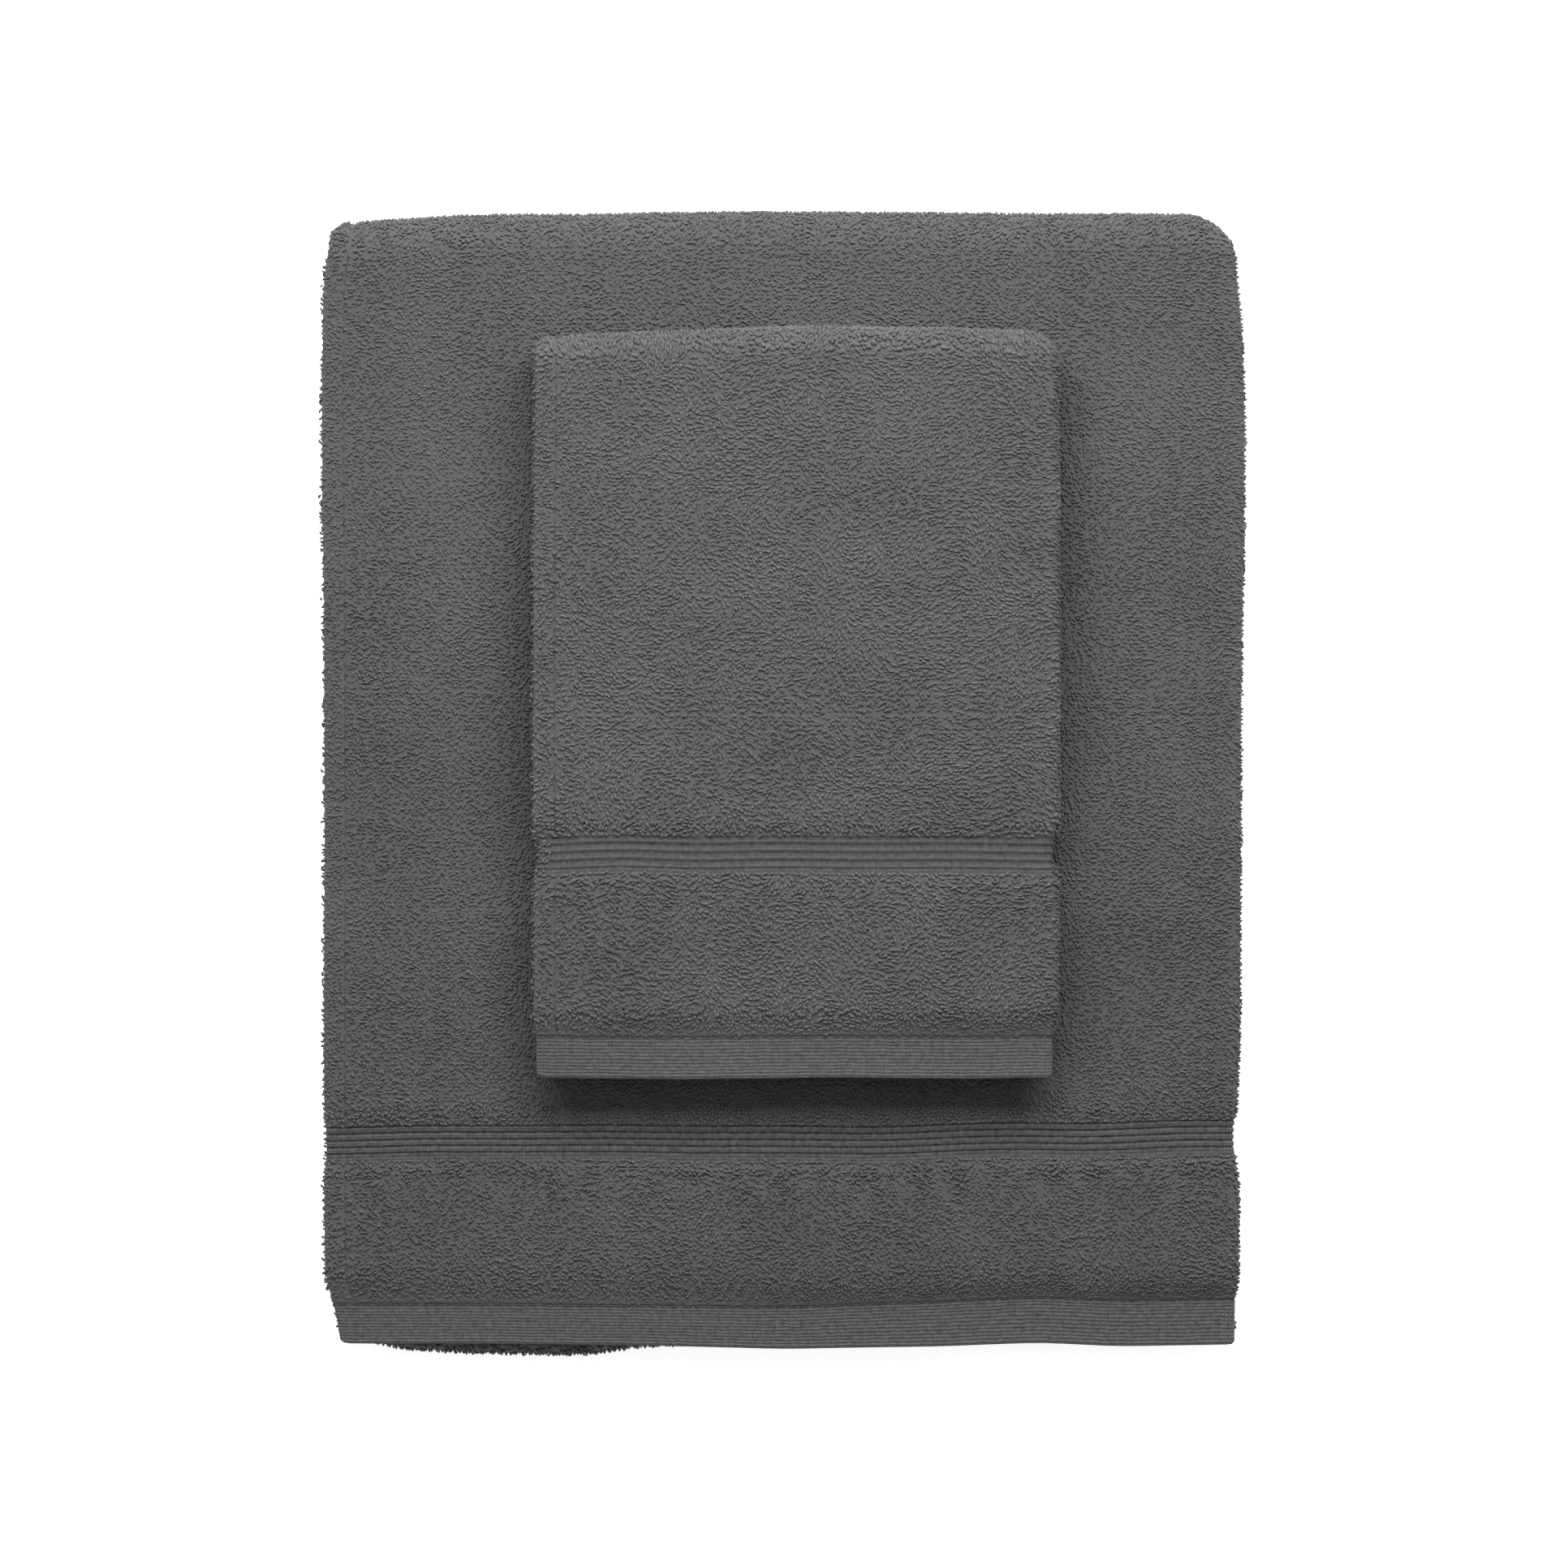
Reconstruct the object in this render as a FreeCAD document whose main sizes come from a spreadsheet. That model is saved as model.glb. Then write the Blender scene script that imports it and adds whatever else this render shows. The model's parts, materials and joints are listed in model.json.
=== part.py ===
import FreeCAD
import Part
import Sketcher
import math
import os

# A folded bath towel with a smaller folded guest towel lying on it.
# Millimetres. X runs across the stack from the open side edges (-X) to the folded side (+X),
# Y runs from the front hem (-Y) to the back fold (+Y), and the bath towel lies on Z = 0.
# Each towel is doubled across its width first, so every panel is a pair of plies joined
# at the right by a round fold. The bath towel is then folded in thirds and the guest towel
# in half. A towel is woven in one piece: its panels, folds, borders and hems are kept as
# separate solids because each has a weave, a thickness or a movement of its own.

doc = FreeCAD.newDocument("bath_towel_set")
sizes = doc.addObject("Spreadsheet::Sheet", "sizes")

dimensions = [
    ("ply_gap", 0.3, "air between plies lying on each other"),
    ("bath_folded_width", 351.0, "folded side to open edges"),
    ("bath_folded_length", 434.0, "front fold to back fold, outside"),
    ("bath_ply", 4.7, "terry with its loops"),
    ("bath_border_ply", 3.2, "flat ground of the ribbed border"),
    ("bath_rib_rise", 0.3, "a rib above that ground, on each face"),
    ("bath_rib_pitch", 2.54, "one rib and its groove"),
    ("bath_rib_count", 4, "ribs in the border"),
    ("bath_plain_strip", 3.4, "flat strip between the ribs and the end band"),
    ("bath_end_band", 54.0, "terry between the border and the hem"),
    ("bath_hem_width", 15.5, "turned flat hem"),
    ("bath_hem_ply", 3.0, "thickness of the turned hem"),
    ("bath_border_inset_left", 2.5, "border end behind the open edges"),
    ("bath_border_inset_right", 5.0, "border fold behind the folded side"),
    ("bath_hem_inset_left", 6.9, "hem end behind the open edges"),
    ("bath_hem_inset_right", 3.8, "hem fold behind the folded side"),
    ("bath_hem_set_back", 3.4, "top hem edge behind the front fold"),
    ("bath_tuck_set_back", 6.0, "tucked hem edge in front of the back fold line"),
    ("bath_side_hem", 8.0, "side seam from the open edges"),
    ("guest_folded_width", 200.0, "folded side to open edges"),
    ("guest_folded_length", 286.1, "front hem to back fold, outside"),
    ("guest_ply", 4.9, "terry with its loops"),
    ("guest_border_ply", 3.4, "flat ground of the ribbed border"),
    ("guest_rib_rise", 0.3, "a rib above that ground, on each face"),
    ("guest_rib_pitch", 3.1, "one rib and its groove"),
    ("guest_rib_count", 4, "ribs in the border"),
    ("guest_plain_strip", 1.9, "flat strip between the ribs and the end band"),
    ("guest_end_band", 61.7, "terry between the border and the hem"),
    ("guest_hem_width", 15.2, "turned flat hem"),
    ("guest_hem_ply", 3.0, "thickness of the turned hem"),
    ("guest_border_inset_left", 2.0, "border end behind the open edges"),
    ("guest_border_inset_right", 3.1, "border fold behind the folded side"),
    ("guest_hem_inset_left", 1.2, "hem end behind the open edges"),
    ("guest_hem_inset_right", 2.5, "hem fold behind the folded side"),
    ("guest_lower_set_back", 5.0, "lower hem edge behind the upper one"),
    ("guest_side_hem", 8.0, "side seam from the open edges"),
    ("guest_shift", 5.1, "guest towel's middle, to the right of the bath towel's"),
    ("guest_front_share", 0.7126, "share of the bath towel's bare length that is in front of the guest"),
    ("guest_rest_gap", 0.3, "air between the two towels"),
    ("guest_fold_clearance", 0.2, "each guest half stops this far from its fold"),
    ("groove_width", 0.6, "sunken line beside a rib"),
    ("seam_width", 1.0, "channel that a row of stitches lies in"),
    ("seam_depth", 0.6, "depth of that channel"),
    ("thread", 0.6, "thickness of the sewing thread"),
    ("stitch_length", 3.6, "one stitch"),
    ("stitch_pitch", 4.6, "a stitch and the space after it"),
]
for row, (alias, value, meaning) in enumerate(dimensions, start=1):
    sizes.set(f"A{row}", str(value))
    sizes.setAlias(f"A{row}", alias)
    sizes.set(f"B{row}", meaning)
doc.recompute()


# A loose number that follows any expression, to read one off while sketches are drawn.
gauge = doc.addObject("App::FeaturePython", "gauge")
gauge.addProperty("App::PropertyFloat", "reading")


def number(expression):
    gauge.setExpression("reading", expression)
    gauge.recompute()
    return gauge.reading


def origin_feature(body, role):
    return next(item for item in body.Origin.OriginFeatures if item.Role == role)


# Heights. A pair is two plies lying on each other, and a pitch is a pair with the air over it.
def pair(cloth):
    return f"(2 * sizes.{cloth}_ply + sizes.ply_gap)"


def pitch(cloth):
    return f"({pair(cloth)} + sizes.ply_gap)"


# Thicker or thinner weaves keep the plies' middles where the terry's are, so a thin ply
# leaves a wider gap inside the pair.
def inner_gap(cloth, ply):
    return f"(sizes.{cloth}_ply + sizes.ply_gap - {ply})"


def half_pair(cloth, ply):
    return f"({ply} + {inner_gap(cloth, ply)} / 2)"


# Stations along Y. The bath towel's are counted from the middle of its length and the guest
# towel's from its upper hem.
bath_front_turn = f"({pair('bath')} + sizes.ply_gap / 2)"
bath_back_turn = f"(1.5 * {pair('bath')} + sizes.ply_gap)"
bath_front_line = f"(-sizes.bath_folded_length / 2 + {bath_front_turn})"
bath_back_line = f"(sizes.bath_folded_length / 2 - {bath_back_turn})"
bath_top_edge = "(-sizes.bath_folded_length / 2 + sizes.bath_hem_set_back)"
bath_tucked_edge = f"({bath_back_line} - sizes.bath_tuck_set_back)"
bath_height = f"(2 * {pitch('bath')} + {pair('bath')})"
guest_turn = f"({pair('guest')} + sizes.ply_gap / 2)"
guest_back_line = f"(sizes.guest_folded_length - {guest_turn})"
bare_length = "(sizes.bath_folded_length - sizes.guest_folded_length)"
guest_front = f"(-sizes.bath_folded_length / 2 + sizes.guest_front_share * {bare_length})"

no_inset = ("0", "0")


def new_body(name, cloth):
    body = doc.addObject("PartDesign::Body", name)
    body.Label = name
    if cloth == "guest":
        body.setExpression("Placement.Base.x", "sizes.guest_shift")
        body.setExpression("Placement.Base.y", guest_front)
        body.setExpression("Placement.Base.z", f"{bath_height} + sizes.guest_rest_gap")
    return body


# A sketch plane that faces -Y, so a pad of it runs towards the front. The sketch's own
# origin stands at the given station along Y and height along Z.
def upright_sketch(body, name, station, height):
    sketch = body.newObject("Sketcher::SketchObject", name)
    sketch.AttachmentSupport = (origin_feature(body, "XZ_Plane"), [""])
    sketch.MapMode = "FlatFace"
    sketch.setExpression("AttachmentOffset.Base.y", height)
    sketch.setExpression("AttachmentOffset.Base.z", f"-{station}")
    return sketch


def bind(sketch, constraint, name, expression):
    index = sketch.addConstraint(constraint)
    sketch.renameConstraint(index, name)
    sketch.setExpression(f"Constraints.{name}", expression)


# The section of a doubled cloth: two straight plies, open at the left and joined at the
# right by a half ring. bottom is the height of its underside over the sketch's origin.
def draw_doubled_cloth(sketch, cloth, ply, insets, bottom):
    half_width = f"(sizes.{cloth}_folded_width / 2)"
    radius = half_pair(cloth, ply)
    gap = inner_gap(cloth, ply)
    low = f"({bottom} + {pair(cloth)} / 2 - {radius})"
    left = f"({half_width} - {insets[0]})"
    turn = f"({half_width} - {insets[1]} - {radius})"

    left_x = -number(left)
    turn_x = number(turn)
    low_y = number(low)
    outer = number(radius)
    inner = number(gap) / 2
    middle_y = low_y + outer
    quarter = math.pi / 2

    def point(x, y):
        return FreeCAD.Vector(x, y, 0)

    def line(x1, y1, x2, y2):
        return Part.LineSegment(point(x1, y1), point(x2, y2))

    def half_ring(ring_radius):
        circle = Part.Circle(point(turn_x, middle_y), FreeCAD.Vector(0, 0, 1), ring_radius)
        return Part.ArcOfCircle(circle, -quarter, quarter)

    underside = sketch.addGeometry(line(left_x, low_y, turn_x, low_y))
    outer_turn = sketch.addGeometry(half_ring(outer))
    top = sketch.addGeometry(line(turn_x, middle_y + outer, left_x, middle_y + outer))
    upper_end = sketch.addGeometry(line(left_x, middle_y + outer, left_x, middle_y + inner))
    upper_inside = sketch.addGeometry(line(left_x, middle_y + inner, turn_x, middle_y + inner))
    inner_turn = sketch.addGeometry(half_ring(inner))
    lower_inside = sketch.addGeometry(line(turn_x, middle_y - inner, left_x, middle_y - inner))
    lower_end = sketch.addGeometry(line(left_x, middle_y - inner, left_x, low_y))

    sketch.addConstraint([
        Sketcher.Constraint("Tangent", underside, 2, outer_turn, 1),
        Sketcher.Constraint("Tangent", outer_turn, 2, top, 1),
        Sketcher.Constraint("Coincident", top, 2, upper_end, 1),
        Sketcher.Constraint("Coincident", upper_end, 2, upper_inside, 1),
        Sketcher.Constraint("Coincident", upper_inside, 2, inner_turn, 2),
        Sketcher.Constraint("Coincident", inner_turn, 1, lower_inside, 1),
        Sketcher.Constraint("Coincident", lower_inside, 2, lower_end, 1),
        Sketcher.Constraint("Coincident", lower_end, 2, underside, 1),
        Sketcher.Constraint("Coincident", outer_turn, 3, inner_turn, 3),
        Sketcher.Constraint("Horizontal", underside),
        Sketcher.Constraint("Horizontal", upper_inside),
        Sketcher.Constraint("Horizontal", lower_inside),
        Sketcher.Constraint("Vertical", upper_end),
        Sketcher.Constraint("Vertical", lower_end),
        Sketcher.Constraint("Vertical", upper_end, 1, lower_end, 2),
        Sketcher.Constraint("Vertical", inner_turn, 1, inner_turn, 2),
    ])
    bind(sketch, Sketcher.Constraint("DistanceX", underside, 1, -1, 1, -left_x), "left", left)
    bind(sketch, Sketcher.Constraint("DistanceX", -1, 1, outer_turn, 3, turn_x), "turn", turn)
    bind(sketch, Sketcher.Constraint("DistanceY", -1, 1, underside, 1, low_y), "low", low)
    bind(sketch, Sketcher.Constraint("Radius", outer_turn, outer), "outer", radius)
    bind(sketch, Sketcher.Constraint("Radius", inner_turn, inner), "inner", f"{gap} / 2")


# A zone of cloth is given by its distances from the towel's hem edge. The zones run towards
# +Y when run is 1 and towards -Y when it is -1. A pad starts at the zone's +Y end.
def zone_start(edge, run, near, far):
    return f"({edge} + {far})" if run > 0 else f"({edge} - {near})"


def pad_cloth(body, name, cloth, ply, insets, level, start, length):
    sketch = upright_sketch(body, f"{name}_section", start, level)
    draw_doubled_cloth(sketch, cloth, ply, insets, "0")
    pad = body.newObject("PartDesign::Pad", f"{name}_pad")
    pad.Profile = sketch
    pad.setExpression("Length", length)
    body.Tip = pad
    return pad


def cloth_zone(name, cloth, ply, insets, level, edge, run, near, far):
    body = new_body(name, cloth)
    start = zone_start(edge, run, near, far)
    pad_cloth(body, name, cloth, ply, insets, level, start, f"({far} - {near})")
    return body


def insets_of(cloth, zone):
    return (f"sizes.{cloth}_{zone}_inset_left", f"sizes.{cloth}_{zone}_inset_right")


# How far the weave zones reach from the hem edge.
def hem_end(cloth):
    return f"sizes.{cloth}_hem_width"


def band_end(cloth):
    return f"({hem_end(cloth)} + sizes.{cloth}_end_band)"


def ribs_start(cloth):
    return f"({band_end(cloth)} + sizes.{cloth}_plain_strip)"


def border_end(cloth):
    ribs = f"sizes.{cloth}_rib_count * sizes.{cloth}_rib_pitch"
    return f"({ribs_start(cloth)} + {ribs} + sizes.groove_width)"


# The border: a flat ground, the plain strip beside the end band, and a row of ribs with a
# groove before each of them and one after the last.
def ribbed_border(name, cloth, level, edge, run):
    body = new_body(name, cloth)
    insets = insets_of(cloth, "border")
    ground = f"sizes.{cloth}_border_ply"
    raised = f"({ground} + 2 * sizes.{cloth}_rib_rise)"
    rib_pitch = f"sizes.{cloth}_rib_pitch"
    near = band_end(cloth)
    ribs = ribs_start(cloth)
    far = border_end(cloth)
    pad_cloth(body, f"{name}_ground", cloth, ground, insets, level,
              zone_start(edge, run, near, far), f"({far} - {near})")
    pad_cloth(body, f"{name}_strip", cloth, raised, insets, level,
              zone_start(edge, run, near, ribs), f"({ribs} - {near})")
    first_near = f"({ribs} + sizes.groove_width)"
    first_far = f"({ribs} + {rib_pitch})"
    rib = pad_cloth(body, f"{name}_rib", cloth, raised, insets, level,
                    zone_start(edge, run, first_near, first_far), f"({rib_pitch} - sizes.groove_width)")
    pattern_along(body, rib, "Y_Axis", run < 0, f"sizes.{cloth}_rib_count", rib_pitch)
    return body


def pattern_along(body, feature, axis, reverse, count, step):
    pattern = body.newObject("PartDesign::LinearPattern", f"{feature.Name}_row")
    pattern.Originals = [feature]
    pattern.Direction = (origin_feature(body, axis), [""])
    pattern.Reversed = reverse
    pattern.setExpression("Occurrences", count)
    pattern.setExpression("Length", f"({count} - 1) * {step}")
    body.Tip = pattern
    return pattern


# A sketch plane that faces up, at the given height, with one rectangle on it.
def flat_rectangle(body, name, height, x_low, y_low, width, depth):
    sketch = body.newObject("Sketcher::SketchObject", name)
    sketch.AttachmentSupport = (origin_feature(body, "XY_Plane"), [""])
    sketch.MapMode = "FlatFace"
    sketch.setExpression("AttachmentOffset.Base.x", x_low)
    sketch.setExpression("AttachmentOffset.Base.y", y_low)
    sketch.setExpression("AttachmentOffset.Base.z", height)
    wide = number(width)
    deep = number(depth)
    corners = [(0, 0), (wide, 0), (wide, deep), (0, deep)]
    for corner, following in zip(corners, corners[1:] + corners[:1]):
        start = FreeCAD.Vector(corner[0], corner[1], 0)
        end = FreeCAD.Vector(following[0], following[1], 0)
        sketch.addGeometry(Part.LineSegment(start, end))
    sketch.addConstraint([
        Sketcher.Constraint("Coincident", 0, 2, 1, 1),
        Sketcher.Constraint("Coincident", 1, 2, 2, 1),
        Sketcher.Constraint("Coincident", 2, 2, 3, 1),
        Sketcher.Constraint("Coincident", 3, 2, 0, 1),
        Sketcher.Constraint("Coincident", 0, 1, -1, 1),
        Sketcher.Constraint("Horizontal", 0),
        Sketcher.Constraint("Horizontal", 2),
        Sketcher.Constraint("Vertical", 1),
        Sketcher.Constraint("Vertical", 3),
    ])
    bind(sketch, Sketcher.Constraint("DistanceX", 0, 1, 0, 2, wide), "wide", width)
    bind(sketch, Sketcher.Constraint("DistanceY", 1, 1, 1, 2, deep), "deep", depth)
    return sketch


# A seam is a channel in a zone's upper face and a thread that lies in it: a thin core with
# raised stitches on it. The place of a seam is its corner, its height and its two lengths.
def cut_channel(body, seam):
    before = body.Tip
    sketch = flat_rectangle(body, f"{body.Name}_channel_outline", seam["top"], seam["x"], seam["y"],
                            seam["width"], seam["depth"])
    channel = body.newObject("PartDesign::Pocket", f"{body.Name}_channel")
    channel.Profile = sketch
    channel.setExpression("Length", "sizes.seam_depth")
    body.Tip = channel
    doc.recompute()
    if channel.Shape.Volume >= before.Shape.Volume:
        raise ValueError(f"{body.Name}: the seam channel cuts nothing")


def stitching(name, cloth, seam):
    body = new_body(name, cloth)
    floor = f"({seam['top']} - sizes.seam_depth)"
    along_x = seam["axis"] == "X_Axis"
    margin = "(sizes.seam_width - sizes.thread) / 2"
    core_x = seam["x"] if along_x else f"({seam['x']} + {margin})"
    core_y = f"({seam['y']} + {margin})" if along_x else seam["y"]
    run_length = seam["width"] if along_x else seam["depth"]

    def thread_pad(part_name, length, thickness):
        width = length if along_x else "sizes.thread"
        depth = "sizes.thread" if along_x else length
        sketch = flat_rectangle(body, f"{part_name}_outline", floor, core_x, core_y, width, depth)
        pad = body.newObject("PartDesign::Pad", part_name)
        pad.Profile = sketch
        pad.setExpression("Length", thickness)
        body.Tip = pad
        return pad

    thread_pad(f"{name}_core", run_length, "(sizes.thread / 3)")
    stitch = thread_pad(f"{name}_stitch", "sizes.stitch_length", "sizes.thread")
    count = f"floor({run_length} / sizes.stitch_pitch)"
    pattern_along(body, stitch, seam["axis"], False, count, "sizes.stitch_pitch")
    return body


# The seam that closes a hem, along the hem's edge beside the end band.
def hem_seam(cloth, level, edge, run):
    ply = f"sizes.{cloth}_hem_ply"
    left_inset, right_inset = insets_of(cloth, "hem")
    half_width = f"(sizes.{cloth}_folded_width / 2)"
    radius = half_pair(cloth, ply)
    far = hem_end(cloth)
    near = f"({far} - sizes.seam_width)"
    low_y = f"({edge} + {near})" if run > 0 else f"({edge} - {far})"
    return {
        "axis": "X_Axis",
        "top": f"({level} + {pair(cloth)} / 2 + {radius})",
        "x": f"(-{half_width} + {left_inset})",
        "y": low_y,
        "width": f"({half_width} * 2 - {left_inset} - {right_inset} - {radius})",
        "depth": "sizes.seam_width",
    }


# The seam that closes a side hem, along the open edges of a panel's upper ply.
def side_seam(cloth, level, y_low, length):
    return {
        "axis": "Y_Axis",
        "top": f"({level} + {pair(cloth)})",
        "x": f"(-sizes.{cloth}_folded_width / 2 + sizes.{cloth}_side_hem)",
        "y": y_low,
        "width": "sizes.seam_width",
        "depth": length,
    }


# One folded layer of a towel with a hem at its end: hem, end band, border and panel.
def towel_layer(layer, cloth, level, edge, run, panel_far, with_side_seam):
    seam = hem_seam(cloth, level, edge, run)
    terry = f"sizes.{cloth}_ply"
    hem = cloth_zone(f"{layer}_hem", cloth, f"sizes.{cloth}_hem_ply", insets_of(cloth, "hem"),
                     level, edge, run, "0", hem_end(cloth))
    cut_channel(hem, seam)
    cloth_zone(f"{layer}_end_band", cloth, terry, no_inset, level, edge, run,
               hem_end(cloth), band_end(cloth))
    ribbed_border(f"{layer}_border", cloth, level, edge, run)
    panel = cloth_zone(f"{layer}_panel", cloth, terry, no_inset, level, edge, run,
                       border_end(cloth), panel_far)
    stitching(f"{layer}_hem_stitching", cloth, seam)
    if with_side_seam:
        low_y = f"({edge} + {border_end(cloth)})"
        selvedge = side_seam(cloth, level, low_y, f"({panel_far} - {border_end(cloth)})")
        cut_channel(panel, selvedge)
        stitching(f"{layer}_side_stitching", cloth, selvedge)


# A round fold: the doubled section turned half way round a line along X. The section is
# drawn over the line, inner_radius away from it, and turns down past +Y or -Y.
def round_fold(name, cloth, line_y, line_z, inner_radius, towards_back):
    body = new_body(name, cloth)
    sketch = upright_sketch(body, f"{name}_section", line_y, line_z)
    draw_doubled_cloth(sketch, cloth, f"sizes.{cloth}_ply", no_inset, inner_radius)
    turn = body.newObject("PartDesign::Revolution", f"{name}_turn")
    turn.Profile = sketch
    turn.ReferenceAxis = (sketch, ["H_Axis"])
    turn.Angle = 180
    turn.Reversed = towards_back
    body.Tip = turn
    doc.recompute()
    shape = turn.Shape.BoundBox
    middle_y = (shape.YMin + shape.YMax) / 2
    if (middle_y > number(line_y)) != towards_back:
        raise ValueError(f"{name} turns the wrong way")


# Bath towel, from the ground up.
bath_middle_level = pitch("bath")
bath_top_level = f"(2 * {pitch('bath')})"

base = new_body("bath_base_panel", "bath")
pad_cloth(base, "bath_base_panel", "bath", "sizes.bath_ply", no_inset, "0",
          bath_back_line, f"({bath_back_line} - {bath_front_line})")
round_fold("bath_front_fold", "bath", bath_front_line,
           f"({pair('bath')} + sizes.ply_gap / 2)", "(sizes.ply_gap / 2)", False)
towel_layer("bath_tucked", "bath", bath_middle_level, bath_tucked_edge, -1,
            f"({bath_tucked_edge} - {bath_front_line})", False)
round_fold("bath_back_fold", "bath", bath_back_line,
           f"({pitch('bath')} + {pair('bath')} / 2)", f"({pair('bath')} / 2 + sizes.ply_gap)", True)
towel_layer("bath_top", "bath", bath_top_level, bath_top_edge, 1,
            f"({bath_back_line} - {bath_top_edge})", True)

# Guest towel, in its own frame: its upper hem is at Y = 0 and its underside at Z = 0.
guest_panel_end = f"({guest_back_line} - sizes.guest_fold_clearance)"
towel_layer("guest_lower", "guest", "0", "sizes.guest_lower_set_back", 1,
            f"({guest_panel_end} - sizes.guest_lower_set_back)", False)
round_fold("guest_back_fold", "guest", guest_back_line,
           f"({pair('guest')} + sizes.ply_gap / 2)", "(sizes.ply_gap / 2)", True)
towel_layer("guest_upper", "guest", pitch("guest"), "0", 1, guest_panel_end, True)

doc.recompute()

for item in doc.Objects:
    if "Invalid" in item.State or "Error" in item.State:
        raise ValueError(f"{item.Name} is {item.State}")

bodies = doc.findObjects("PartDesign::Body")
for body in bodies:
    if body.Shape.isNull() or not body.Shape.isValid():
        raise ValueError(f"{body.Label} has no valid shape")
    if len(body.Shape.Solids) != 1:
        raise ValueError(f"{body.Label} has {len(body.Shape.Solids)} solids")

os.makedirs("parts", exist_ok=True)
for body in bodies:
    body.Shape.exportStep(f"parts/{body.Label}.step")
    box = body.Shape.BoundBox
    print(f"{body.Label}: x {box.XMin:.1f} to {box.XMax:.1f}, y {box.YMin:.1f} to {box.YMax:.1f}, "
          f"z {box.ZMin:.2f} to {box.ZMax:.2f}, {body.Shape.Volume / 1000:.2f} cm3")
print(f"{len(bodies)} pieces")
print(f"guest fold line at y {number(guest_front + ' + ' + guest_back_line):.3f}, "
      f"z {number(bath_height + ' + sizes.guest_rest_gap + ' + guest_turn):.3f}")
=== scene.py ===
import json
import bpy
import numpy as np
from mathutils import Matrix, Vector


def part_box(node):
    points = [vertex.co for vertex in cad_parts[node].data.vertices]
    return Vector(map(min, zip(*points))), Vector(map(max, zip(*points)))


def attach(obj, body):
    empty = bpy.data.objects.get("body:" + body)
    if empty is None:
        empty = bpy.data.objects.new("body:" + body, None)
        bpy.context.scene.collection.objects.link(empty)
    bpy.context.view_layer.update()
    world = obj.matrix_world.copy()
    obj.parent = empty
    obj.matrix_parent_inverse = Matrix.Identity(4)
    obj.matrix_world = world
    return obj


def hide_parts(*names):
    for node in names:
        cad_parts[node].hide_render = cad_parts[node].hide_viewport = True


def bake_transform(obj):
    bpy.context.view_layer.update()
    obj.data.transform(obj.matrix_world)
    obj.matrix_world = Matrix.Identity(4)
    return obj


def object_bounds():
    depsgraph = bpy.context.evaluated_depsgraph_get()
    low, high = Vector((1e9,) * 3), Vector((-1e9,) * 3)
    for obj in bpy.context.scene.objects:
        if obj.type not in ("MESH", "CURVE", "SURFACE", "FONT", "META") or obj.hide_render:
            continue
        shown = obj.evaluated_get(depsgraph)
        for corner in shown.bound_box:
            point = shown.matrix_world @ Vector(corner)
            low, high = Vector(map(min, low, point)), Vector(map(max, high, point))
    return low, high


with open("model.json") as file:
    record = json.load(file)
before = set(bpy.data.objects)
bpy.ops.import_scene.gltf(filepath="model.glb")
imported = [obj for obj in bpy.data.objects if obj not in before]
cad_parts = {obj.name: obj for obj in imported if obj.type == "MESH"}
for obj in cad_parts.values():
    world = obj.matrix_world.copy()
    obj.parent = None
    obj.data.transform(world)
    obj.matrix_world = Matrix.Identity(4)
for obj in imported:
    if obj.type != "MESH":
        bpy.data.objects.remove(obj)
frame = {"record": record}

cadBox = [list(corner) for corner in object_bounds()]
mm = 0.001
quarterTurn = np.pi / 2

# Two folded terry towels. Every shape is drawn on flat cloth first, in three measures:
# across  from the middle of the cloth's width, which ends up on the folded side
# along   from the hem edge that is folded in, to the hem edge that shows
# lift    out of the middle of the cloth, towards the outside of the fold
# foldedPlace then carries cloth, loops and stitches to where the folded towel has them.


def span(node):
    # the lowest and highest corner of a node of the frame
    low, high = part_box(node)
    return np.array(low), np.array(high)


def softNoise(x, y, size, seed):
    # the sum of nine plane waves about as long as size, with random headings and phases,
    # scaled so that its spread is about 1
    dice = np.random.RandomState(seed)
    total = np.zeros(np.broadcast(x, y).shape)
    for heading, phase, stretch in dice.rand(9, 3):
        wave = 2 * np.pi / (size * (0.7 + 0.7 * stretch))
        turned = x * np.cos(2 * np.pi * heading) + y * np.sin(2 * np.pi * heading)
        total += np.cos(wave * turned + 2 * np.pi * phase)
    return total / 2.1


def ease(value, start, end):
    # 0 before start, 1 after end, and an S between them
    share = np.clip((value - start) / (end - start), 0, 1)
    return share * share * (3 - 2 * share)


def bell(value, middle, width):
    # 1 at the middle, falling off as exp(-distance squared)
    return np.exp(-((value - middle) / width) ** 2)


def foldPath(y, z, heading, parts):
    # a line of straight runs and left turns, from a start point and a heading in the YZ plane
    runs = []
    along = 0.0
    for length, radius in parts:
        runs.append({"from": along, "y": y, "z": z, "heading": heading, "radius": radius})
        if radius:
            after = heading + length / radius
            y += radius * (np.sin(after) - np.sin(heading))
            z -= radius * (np.cos(after) - np.cos(heading))
            heading = after
        else:
            y += length * np.cos(heading)
            z += length * np.sin(heading)
        along += length
    return runs, along


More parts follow.
